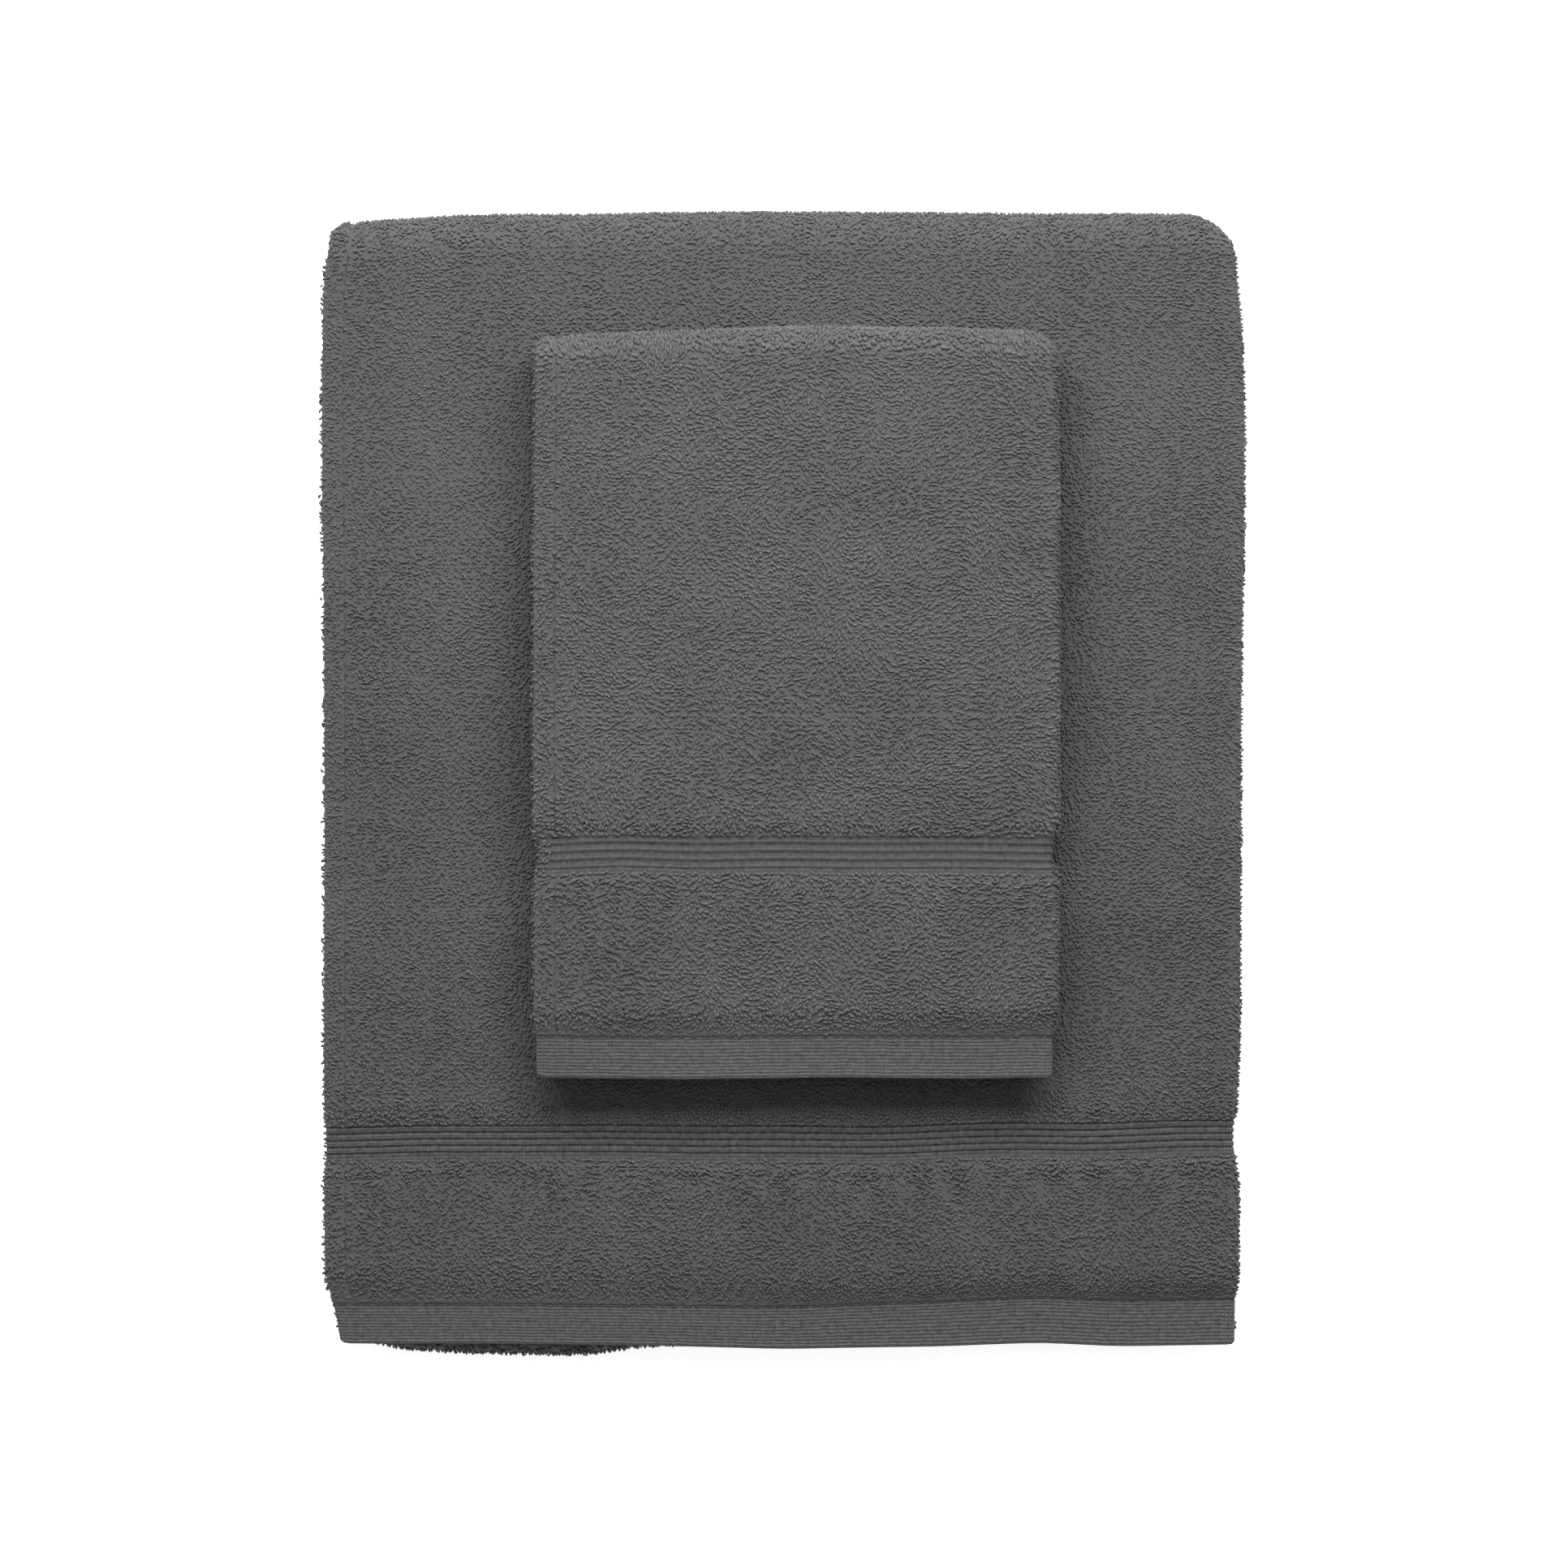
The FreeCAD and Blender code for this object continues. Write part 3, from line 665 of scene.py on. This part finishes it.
bathTerry = pileMaterial("bathTerry", yarn["bathDark"], yarn["bathLight"])
guestTerry = pileMaterial("guestTerry", yarn["guestDark"], yarn["guestLight"])
bathBorder = wovenMaterial("bathBorder", (0.009,) * 3, (0.100,) * 3, 0.9 * mm, 1.27 * mm, 0.0002)
guestBorder = wovenMaterial("guestBorder", (0.020,) * 3, (0.090,) * 3, 0.9 * mm, 1.55 * mm, 0.0002)
bathHem = wovenMaterial("bathHem", (0.017,) * 3, (0.120,) * 3, 1.15 * mm, 1.15 * mm, 0.0005)
guestHem = wovenMaterial("guestHem", (0.019,) * 3, (0.116,) * 3, 1.2 * mm, 1.2 * mm, 0.0005)
thread = pileMaterial("sewingThread", (0.030,) * 3, (0.070,) * 3)
print("materials made")


def addMesh(name, points, corners, counts, smooth=True):
    # points (n, 3), the corner numbers of all faces in a row, and how many each face has
    mesh = bpy.data.meshes.new(name)
    mesh.vertices.add(len(points))
    mesh.vertices.foreach_set("co", np.ascontiguousarray(points, np.float32).ravel())
    mesh.loops.add(len(corners))
    mesh.loops.foreach_set("vertex_index", np.ascontiguousarray(corners, np.int32))
    mesh.polygons.add(len(counts))
    starts = np.concatenate([[0], np.cumsum(counts)[:-1]])
    mesh.polygons.foreach_set("loop_start", starts.astype(np.int32))
    mesh.polygons.foreach_set("use_smooth", np.full(len(counts), smooth))
    mesh.update(calc_edges=True)
    mesh.validate()
    piece = bpy.data.objects.new(name, mesh)
    bpy.context.scene.collection.objects.link(piece)
    return piece


def steps(start, end, step):
    # evenly spaced from start to end, no further apart than step
    return np.linspace(start, end, max(2, int(np.ceil((end - start) / step)) + 1))


def gridAcross(towel, step):
    # fine at the rims, the side seam and the folded side, coarse between them
    bend = towel["ply"] / 2 * quarterTurn + 2 * mm
    edge = towel["halfWidth"]
    seam = edge - towel["sideHem"]
    half = np.concatenate([
        steps(0, bend, 0.9 * mm),
        steps(bend, seam - 2 * mm, step),
        steps(seam - 2 * mm, seam + 2 * mm, 0.5 * mm),
        steps(seam + 2 * mm, edge - 1.2 * mm, step / 2),
        edge - np.array([0.8, 0.5, 0.25, 0.0]) * mm,
    ])
    half = np.unique(np.round(half, 7))
    return np.concatenate([-half[:0:-1], half])


def gridEnd(towel, step, ribStep):
    # fine at the hem, its seam and the ribs
    hem, band, border = towel["hemWidth"], towel["bandEnd"], towel["borderEnd"]
    return np.concatenate([
        np.array([0.0, 0.2, 0.5, 0.9, 1.4]) * mm,
        steps(1.4 * mm, hem - 2 * mm, 4 * mm),
        steps(hem - 2 * mm, hem + 1 * mm, 0.5 * mm),
        steps(hem + 1 * mm, band - 1 * mm, step),
        steps(band - 1 * mm, border + 1 * mm, ribStep),
    ])


def gridAlong(towel, step):
    # fine at the ends and at the turns; the ribs that are folded in need less
    border = towel["borderEnd"]
    length = towel["length"]
    pieces = [gridEnd(towel, step, towel["hiddenRibStep"]),
              length - gridEnd(towel, step, towel["ribStep"])]
    marks = [run["from"] for run in towel["runs"]] + [length]
    for number, run in enumerate(towel["runs"]):
        if run["radius"]:
            pieces.append(steps(marks[number], marks[number + 1], towel["turnStep"]))
        else:
            low = max(marks[number], border + 1 * mm)
            high = min(marks[number + 1], length - border - 1 * mm)
            pieces.append(steps(low, high, step))
    return np.unique(np.round(np.concatenate(pieces), 7))


def clothSheet(name, towel, step, materials):
    # one closed skin: the outer face and the inner face of the woven cloth, joined at the rims
    across = gridAcross(towel, step)
    along = gridAlong(towel, step)
    a, b = np.meshgrid(across, along)
    half = halfThickness(towel, a, b)
    outer = foldedPlace(towel, a, b, half)
    inner = foldedPlace(towel, a[:, ::-1], b[:, ::-1], -half[:, ::-1])
    ring = np.concatenate([outer, inner], 1)
    rows, columns = ring.shape[:2]
    index = np.arange(rows * columns).reshape(rows, columns)
    right = np.roll(index, -1, 1)
    sides = np.stack([index[:-1], right[:-1], right[1:], index[1:]], -1).reshape(-1, 4)
    count = len(across)
    near, far = index[0], index[-1]
    j = np.arange(count - 1)
    mirror = columns - 1 - j
    startCap = np.stack([near[j], near[mirror], near[mirror - 1], near[j + 1]], -1)
    endCap = np.stack([far[j], far[j + 1], far[mirror - 1], far[mirror]], -1)
    faces = np.concatenate([sides, startCap, endCap])
    piece = addMesh(name, ring.reshape(-1, 3), faces.ravel(), np.full(len(faces), 4))
    mesh = piece.data
    for material in materials:
        mesh.materials.append(material)
    # the cloth's own flat coordinates, in metres, for the weave
    flatAcross = np.concatenate([across, across[::-1]])
    uv = np.stack(np.meshgrid(flatAcross, along), -1).reshape(-1, 2)
    layer = mesh.uv_layers.new(name="cloth")
    cornerPoints = np.zeros(len(mesh.loops), np.int32)
    mesh.loops.foreach_get("vertex_index", cornerPoints)
    layer.data.foreach_set("uv", uv[cornerPoints].astype(np.float32).ravel())
    middle = fromHem(towel, (along[:-1] + along[1:]) / 2)
    zone = np.where(middle < towel["hemWidth"], 2, 0)
    zone = np.where((middle > towel["bandEnd"]) & (middle < towel["borderEnd"]), 1, zone)
    slots = np.concatenate([np.repeat(zone, columns), np.full(2 * (count - 1), 2)])
    mesh.polygons.foreach_set("material_index", slots.astype(np.int32))
    # the tone attribute carries painted shade between the loops, in the grooves and along the seams,
    # and a painted highlight along the hem's edge
    tone = mesh.attributes.new("tone", "FLOAT", "POINT")
    tonesWithPaintedShade = clothToneWithPaintedLight(towel, a, b)
    tonesWithPaintedShade = np.concatenate([tonesWithPaintedShade, tonesWithPaintedShade[:, ::-1]], 1)
    tone.data.foreach_set("value", tonesWithPaintedShade.astype(np.float32).ravel())
    return piece, np.repeat(along, columns)


def yarnArcs(towel, across, along, heading, face, shape, rings, dice):
    # short arched yarns: a three-sided tube that leaves the cloth, bows to one side and dives
    # back in. Its middle line is (u * length/2, bow * (1 - u*u), rise * (1 - u*u)).
    count = len(across)
    u = np.linspace(-1, 1, rings + 2)[None, :, None]
    crest = 1 - u * u
    around = np.array([90, 210, 330]) * np.pi / 180
    length = shape["length"] * (0.8 + 0.45 * dice.rand(count))[:, None, None]
    rise = shape["rise"] * (0.75 + 0.5 * dice.rand(count))[:, None, None]
    bow = shape["bow"] * (dice.rand(count) * 2 - 1)[:, None, None]
    byHem = ease(fromHem(towel, along), towel["hemWidth"], towel["hemWidth"] + 4 * mm)
    rise = rise * (shape["byHem"] + (1 - shape["byHem"]) * byHem)[:, None, None]
    radius = shape["radius"] * (0.85 + 0.3 * dice.rand(count))[:, None, None]
    radius = radius * np.sqrt(crest * 0.85 + 0.15)
    forward = u * length / 2 + 0 * around
    sideways = bow * crest + radius * np.cos(around)
    upward = rise * crest + radius * np.sin(around) - shape["rooted"]
    tips = [0, rings + 1]
    sideways[:, tips] = 0 * sideways[:, tips]
    upward[:, tips] = upward[:, tips].mean(2, keepdims=True)
    c, s = np.cos(heading)[:, None, None], np.sin(heading)[:, None, None]
    a = across[:, None, None] + forward * c - sideways * s
    b = along[:, None, None] + forward * s + sideways * c
    furthest = towel["halfWidth"] + 1.6 * mm
    a = np.clip(a, -furthest, furthest)
    base = halfThickness(towel, across, along)[:, None, None]
    lift = face * (base + upward)
    keep = [(0, 0)] + [(r, k) for r in range(1, rings + 1) for k in range(3)] + [(rings + 1, 0)]
    rows, sides = np.array(keep).T
    return foldedPlace(towel, a[:, rows, sides], b[:, rows, sides], lift[:, rows, sides])


def yarnFaces(count, rings, face):
    # tip fans and ring quads of one yarn, repeated for them all
    last = 1 + 3 * rings
    triangles = []
    quads = []
    for k in range(3):
        following = (k + 1) % 3
        triangles.append([0, 1 + following, 1 + k])
        triangles.append([last, last - 3 + k, last - 3 + following])
        for r in range(rings - 1):
            low = 1 + 3 * r
            quads.append([low + k, low + following, low + 3 + following, low + 3 + k])
    triangles, quads = np.array(triangles), np.array(quads, int).reshape(-1, 4)
    if face > 0:
        triangles, quads = triangles[:, ::-1], quads[:, ::-1]
    corners = np.concatenate([triangles.ravel(), quads.ravel()])
    perYarn = last + 1
    allCorners = (corners[None, :] + perYarn * np.arange(count)[:, None]).ravel()
    counts = np.tile([3] * len(triangles) + [4] * len(quads), count)
    return allCorners, counts


def yarnPiece(name, towel, across, along, heading, tone, face, shape, rings, material, dice):
    # tone is each yarn's lightness at its crest; its roots are painted darker, a painted shade where
    # the loops crowd together
    points = yarnArcs(towel, across, along, heading, face, shape, rings, dice)
    u = np.concatenate([[-1], np.repeat(np.linspace(-1, 1, rings + 2)[1:-1], 3), [1]])
    # painted shade: the roots go down to 55% of the crest's lightness
    tonesWithPaintedShade = tone[:, None] * (0.55 + 0.45 * (1 - u * u))
    corners, counts = yarnFaces(len(across), rings, face)
    piece = addMesh(name, points.reshape(-1, 3), corners, counts)
    piece.data.materials.append(material)
    attribute = piece.data.attributes.new("tone", "FLOAT", "POINT")
    attribute.data.foreach_set("value", tonesWithPaintedShade.astype(np.float32).ravel())
    return piece, np.repeat(along, points.shape[1])


nap = {
    "swirl": 1.7,                # how far the heading swings, and over what distance
    "swirlSize": 70 * mm,
    "quick": 0.7,
    "quickSize": 22 * mm,
    "calm": 0.6,                 # how much calmer it is in the rows, and where they are
    "calmPlace": 15 * mm,
    "calmWidth": 60 * mm,
    "headingSpread": 0.35,
    "rowPitch": 0.92,            # from row to row, and how far a loop is nudged, in pitches
    "nudgeAcross": 0.28,
    "nudgeAlong": 0.22,
    "bareSeam": 0.75 * mm,       # loops stay this far from the side seam
    "strayFrom": 2 * mm,         # the strip beside an open edge where loops stray
    "strayLimit": 0.9 * mm,
    "tone": 0.58,                # how light a loop is, and how patches and chance change that
    "patch": 0.07,
    "patchSize": 34 * mm,
    "broad": 0.08,
    "broadSize": 95 * mm,
    "toneSpread": 0.12,
}


def napHeading(towel, x, y):
    # which way the loops lean: slow swirls, with quicker ones in them. Towards the folded side
    # they calm down into rows across the cloth.
    swirl = nap["swirl"] * softNoise(x, y, nap["swirlSize"], towel["seed"])
    swirl += nap["quick"] * softNoise(x, y, nap["quickSize"], towel["seed"] + 1)
    return swirl * (1 - nap["calm"] * bell(x, nap["calmPlace"], nap["calmWidth"]))


def addPatch(pieces, *choices):
    pieces.append(terryPatch(*choices)[0])


def terryPatch(name, towel, acrossSpan, alongSpan, face, pitch, rings, seed, crowd=1.0):
    # loops in staggered rows, each nudged off its place; none on the flat zones or the side
    # seam. Rows are crowded where a turn spreads them.
    dice = np.random.RandomState(seed)
    shape = towel["loop"]
    pitch = shape[pitch]
    a = np.arange(acrossSpan[0] + pitch / 2, acrossSpan[1], pitch)
    b = np.arange(alongSpan[0] + pitch / 2, alongSpan[1], pitch * nap["rowPitch"] / crowd)
    across, along = np.meshgrid(a, b)
    across = across + (np.arange(len(b)) % 2)[:, None] * pitch / 2
    across = (across + pitch * nap["nudgeAcross"] * dice.randn(*across.shape)).ravel()
    along = (along + pitch * nap["nudgeAlong"] * dice.randn(*along.shape)).ravel()
    # the last loops before an open edge stray past it
    edge = towel["halfWidth"]
    stray = ease(np.abs(across), edge - nap["strayFrom"], edge)
    across = across + np.sign(across) * shape["stray"] * stray * dice.rand(len(across))
    fromSeam = np.abs(np.abs(across) - (edge - towel["sideHem"]))
    keep = isTerry(towel, across, along) & (fromSeam > nap["bareSeam"])
    keep &= np.abs(across) < edge + nap["strayLimit"]
    across, along = across[keep], along[keep]
    heading = napHeading(towel, across, along) + nap["headingSpread"] * dice.randn(len(across))
    patch = nap["patch"] * softNoise(across, along, nap["patchSize"], towel["seed"] + 3)
    broad = nap["broad"] * softNoise(across, along, nap["broadSize"], towel["seed"] + 4)
    tone = nap["tone"] + patch + broad + nap["toneSpread"] * dice.randn(len(across))
    tone = np.clip(tone, 0, 1)
    return yarnPiece(name, towel, across, along, heading, tone, face, shape, rings,
                     towel["terry"], dice)


bathLoop = {
    "length": 2.05 * mm,
    "rise": 1.25 * mm,
    "bow": 0.5 * mm,             # how far it leans to one side
    "radius": 0.54 * mm,
    "rooted": 0.7 * mm,          # how deep its ends go into the cloth
    "byHem": 0.6,                # its height beside the hem, as a share
    "stray": 0.6 * mm,           # how far it may stray past an open edge
    "pitch": 1.55 * mm,
    "sidePitch": 1.9 * mm,
    "underPitch": 3.4 * mm,
}
guestLoop = {
    "length": 2.6 * mm,
    "rise": 1.25 * mm,
    "bow": 0.6 * mm,
    "radius": 0.64 * mm,
    "rooted": 0.75 * mm,
    "byHem": 0.6,
    "stray": 0.6 * mm,
    "pitch": 1.62 * mm,
    "innerPitch": 1.95 * mm,
}
bath["loop"], bath["terry"] = bathLoop, bathTerry
guest["loop"], guest["terry"] = guestLoop, guestTerry
edgeStrip = 5 * mm               # the width of the strips of loops along the open edges

bathCloth, _ = clothSheet("bath_cloth", bath, 7.5 * mm, [bathTerry, bathBorder, bathHem])
guestWeaves = [guestTerry, guestBorder, guestHem]
guestCloth, guestAlong = clothSheet("guest_cloth", guest, 5.0 * mm, guestWeaves)
print("cloth made")

# The bath towel's loops, with its top in strips so that no piece gets too heavy.
edge = bath["halfWidth"]
sideStart = bath["ply"] / 2 * quarterTurn + 5 * mm
topFrom, topTo = bath["topStart"], bath["length"]
frontFrom, baseFrom, backFrom = (bath["runs"][n]["from"] for n in (1, 2, 3))
outerFace, foldedSide = (sideStart, edge), (-sideStart, sideStart)
strips = 5
patches = []
for number in range(strips):
    low = topFrom + (topTo - topFrom) * number / strips
    high = topFrom + (topTo - topFrom) * (number + 1) / strips
    patches.append((f"top_pile_{number + 1}", outerFace, (low, high), "pitch", 2, 100 + number, 1.0))
patches += [
    ("folded_side_pile", foldedSide, (0, topFrom), "sidePitch", 2, 110, 1.0),
    ("top_folded_side_pile", foldedSide, (topFrom, topTo), "pitch", 2, 113, 1.0),
    ("front_fold_pile", outerFace, (frontFrom - 6 * mm, baseFrom + 2 * mm), "pitch", 2, 111, 1.0),
    ("back_fold_pile", outerFace, (backFrom - 2 * mm, topFrom), "pitch", 2, 112, 1.3),
    ("underside_pile", (sideStart, edge - edgeStrip), (baseFrom + 2 * mm, backFrom - 2 * mm),
     "underPitch", 1, 114, 1.0),
]
bathPieces = []
for label, acrossSpan, alongSpan, pitch, rings, seed, crowd in patches:
    addPatch(bathPieces, f"bath_{label}", bath, acrossSpan, alongSpan, 1, pitch, rings, seed, crowd)
for number, acrossSpan in enumerate([(-edge, -edge + edgeStrip), (edge - edgeStrip, edge)]):
    for face in (1, -1):
        alongSpan = (0, topFrom if number and face > 0 else topTo)
        made = len(bathPieces)
        addPatch(bathPieces, f"bath_open_edge_pile_{made}", bath, acrossSpan, alongSpan, face,
                 "pitch", 2, 120 + made)
print("bath towel's loops made")

edge = guest["halfWidth"]
sideStart = guest["ply"] / 2 * quarterTurn + 5 * mm
outerFace, foldedSide, innerFace = (sideStart, edge), (-sideStart, sideStart), (-edge, -sideStart)
turnFrom, topFrom, topTo = guest["turnStart"], guest["topStart"], guest["length"]
middle = (topFrom + topTo) / 2
lowerPieces, upperPieces, foldPieces = [], [], []
for number, alongSpan in enumerate([(topFrom, middle), (middle, topTo)]):
    addPatch(upperPieces, f"guest_top_pile_{number + 1}", guest, outerFace, alongSpan, 1,
             "pitch", 2, 200 + number)
zones = [("lower", lowerPieces, (0, turnFrom)), ("upper", upperPieces, (topFrom, topTo))]
for label, pieces, alongSpan in zones:
    addPatch(pieces, f"guest_{label}_folded_side_pile", guest, foldedSide, alongSpan, 1,
             "pitch", 2, 210 + len(pieces))
    addPatch(pieces, f"guest_{label}_inside_pile", guest, innerFace, alongSpan, 1,
             "innerPitch", 1, 220 + len(pieces))
    for acrossSpan in ((-edge, -edge + edgeStrip), (edge - edgeStrip, edge)):
        made = len(pieces)
        addPatch(pieces, f"guest_{label}_open_edge_pile_{made}", guest, acrossSpan, alongSpan,
                 -1, "pitch", 2, 230 + made)
addPatch(lowerPieces, "guest_underside_pile", guest, outerFace, (0, turnFrom - 3 * mm), 1,
         "innerPitch", 1, 240)
foldZones = [("outer", outerFace, 1.7), ("side", foldedSide, 1.3), ("inner", innerFace, 1.0)]
for label, acrossSpan, crowd in foldZones:
    foldPieces.append(terryPatch(f"guest_back_fold_{label}_pile", guest, acrossSpan,
                                 (turnFrom, topFrom), 1, "pitch", 2, 250 + len(foldPieces), crowd))
print("guest towel's loops made")

stitch = {
    "length": 3.6 * mm,
    "pitch": 4.6 * mm,
    "rise": 0.30 * mm,
    "bow": 0.05 * mm,
    "radius": 0.26 * mm,
    "rooted": 0.02 * mm,
    "byHem": 1.0,
    "tone": 0.4,
}


def sew(name, towel, across, along, heading, seed):
    # a row of stitches on the outer face
    count = len(across)
    piece, _ = yarnPiece(name, towel, across, along, np.full(count, heading),
                         np.full(count, stitch["tone"]), 1, stitch, 3, thread,
                         np.random.RandomState(seed))
    return piece


def hemStitches(name, towel, atStart, seed):
    # across the cloth where the turned hem is sewn down
    across = np.arange(-towel["halfWidth"] + 2 * mm, towel["halfWidth"] - 2 * mm, stitch["pitch"])
    seam = towel["hemWidth"] - sewn["fromHemEnd"]
    along = np.full(len(across), seam if atStart else towel["length"] - seam)
    return sew(name, towel, across, along, 0.0, seed)


def sideStitches(name, towel, alongSpan, seed):
    # along the open edges where the side hem is sewn down
    along = np.arange(alongSpan[0], alongSpan[1], stitch["pitch"])
    across = np.full(len(along), towel["halfWidth"] - towel["sideHem"])
    onTerry = isTerry(towel, across, along)
    return sew(name, towel, across[onTerry], along[onTerry], quarterTurn, seed)


bathTop = (bath["topStart"], bath["length"])
guestTop = (guest["topStart"], guest["length"])
bathSewing = {
    "bath_tucked_hem_stitching": hemStitches("bath_tucked_hem_thread", bath, True, 300),
    "bath_top_hem_stitching": hemStitches("bath_top_hem_thread", bath, False, 301),
    "bath_top_side_stitching": sideStitches("bath_top_side_thread", bath, bathTop, 302),
}
lowerSewing = {"guest_lower_hem_stitching": hemStitches("guest_lower_hem_thread", guest, True, 303)}
upperSewing = {
    "guest_upper_hem_stitching": hemStitches("guest_upper_hem_thread", guest, False, 304),
    "guest_upper_side_stitching": sideStitches("guest_upper_side_thread", guest, guestTop, 305),
}
print("seams sewn")

groups = [("bath_towel", bathPieces, bathSewing, "bath_terry"),
          ("guest_lower_half", lowerPieces, lowerSewing, "guest_terry"),
          ("guest_upper_half", upperPieces, upperSewing, "guest_terry")]
for body, pieces, sewing, slot in groups:
    for piece in pieces:
        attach(piece, body)
    for node, piece in sewing.items():
        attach(piece, body)
        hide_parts(node)


def wovenNodes(body):
    nodes = frame["record"]["behaviour"]["bodies"][body]
    return [node for node in nodes if "stitching" not in node]


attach(bathCloth, "bath_towel")
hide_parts(*wovenNodes("bath_towel"))


def openWithFold(piece):
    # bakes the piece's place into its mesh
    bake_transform(piece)


openWithFold(guestCloth)
for body in ("guest_lower_half", "guest_upper_half"):
    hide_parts(*wovenNodes(body))
for piece, alongOf in foldPieces:
    openWithFold(piece)

white = (1.0, 1.0, 1.0, 1)
studio = {
    "floor": (0.88, 0.88, 0.88, 1),
    "floorReach": 40.0,
    "tableGlow": 0.66,
    "skyStrength": 0.545,
    "keyPlace": (0.02, 0.86, 0.94),
    "keyPower": 43.0,
    "keyWidth": 1.85,
    "keyDepth": 0.62,
    "keyAim": (0.0, 0.03, 0.0),
    "lens": 150,
    "sensor": 36,
    "frameWidth": 0.597,     # what the camera takes in across, at the height below
    "frameHeight": 0.035,
}


def addFloor():
    reach = studio["floorReach"]
    points = reach * np.array([[-1, -1, 0], [1, -1, 0], [1, 1, 0], [-1, 1, 0]])
    floor = addMesh("floor", points, np.arange(4), np.array([4]), False)
    material = bpy.data.materials.new("paleFloor")
    material.use_nodes = True
    shader = material.node_tree.nodes["Principled BSDF"]
    setInputs(shader, {"Base Color": studio["floor"], "Roughness": 0.8,
                       "Emission Color": white, "Emission Strength": studio["tableGlow"]})
    floor.data.materials.append(material)


def addLamp():
    data = bpy.data.lights.new("keyLamp", "AREA")
    data.shape = "RECTANGLE"
    data.size = studio["keyWidth"]
    data.size_y = studio["keyDepth"]
    data.energy = studio["keyPower"]
    lamp = bpy.data.objects.new("keyLamp", data)
    lamp.location = studio["keyPlace"]
    aim = Vector(studio["keyAim"]) - Vector(studio["keyPlace"])
    lamp.rotation_euler = aim.to_track_quat("-Z", "Y").to_euler()
    bpy.context.scene.collection.objects.link(lamp)


def addCamera():
    data = bpy.data.cameras.new("camera")
    data.lens = studio["lens"]
    data.sensor_width = studio["sensor"]
    camera = bpy.data.objects.new("camera", data)
    distance = studio["frameWidth"] * studio["lens"] / data.sensor_width
    camera.location = (0, 0, distance + studio["frameHeight"])
    bpy.context.scene.collection.objects.link(camera)
    bpy.context.scene.camera = camera


addFloor()
addLamp()
addCamera()
world = bpy.context.scene.world or bpy.data.worlds.new("studio")
bpy.context.scene.world = world
world.use_nodes = True
setInputs(world.node_tree.nodes["Background"],
          {"Color": white, "Strength": studio["skyStrength"]})
bpy.context.scene.view_settings.view_transform = "Standard"
print("studio set")

meshes = [piece for piece in bpy.context.scene.objects if piece.type == "MESH"]
triangles = [sum(len(face.vertices) - 2 for face in piece.data.polygons)
             for piece in meshes if piece.name != "floor"]
print(f"{len(triangles)} pieces, {sum(triangles)} triangles, {max(triangles)} in the biggest")
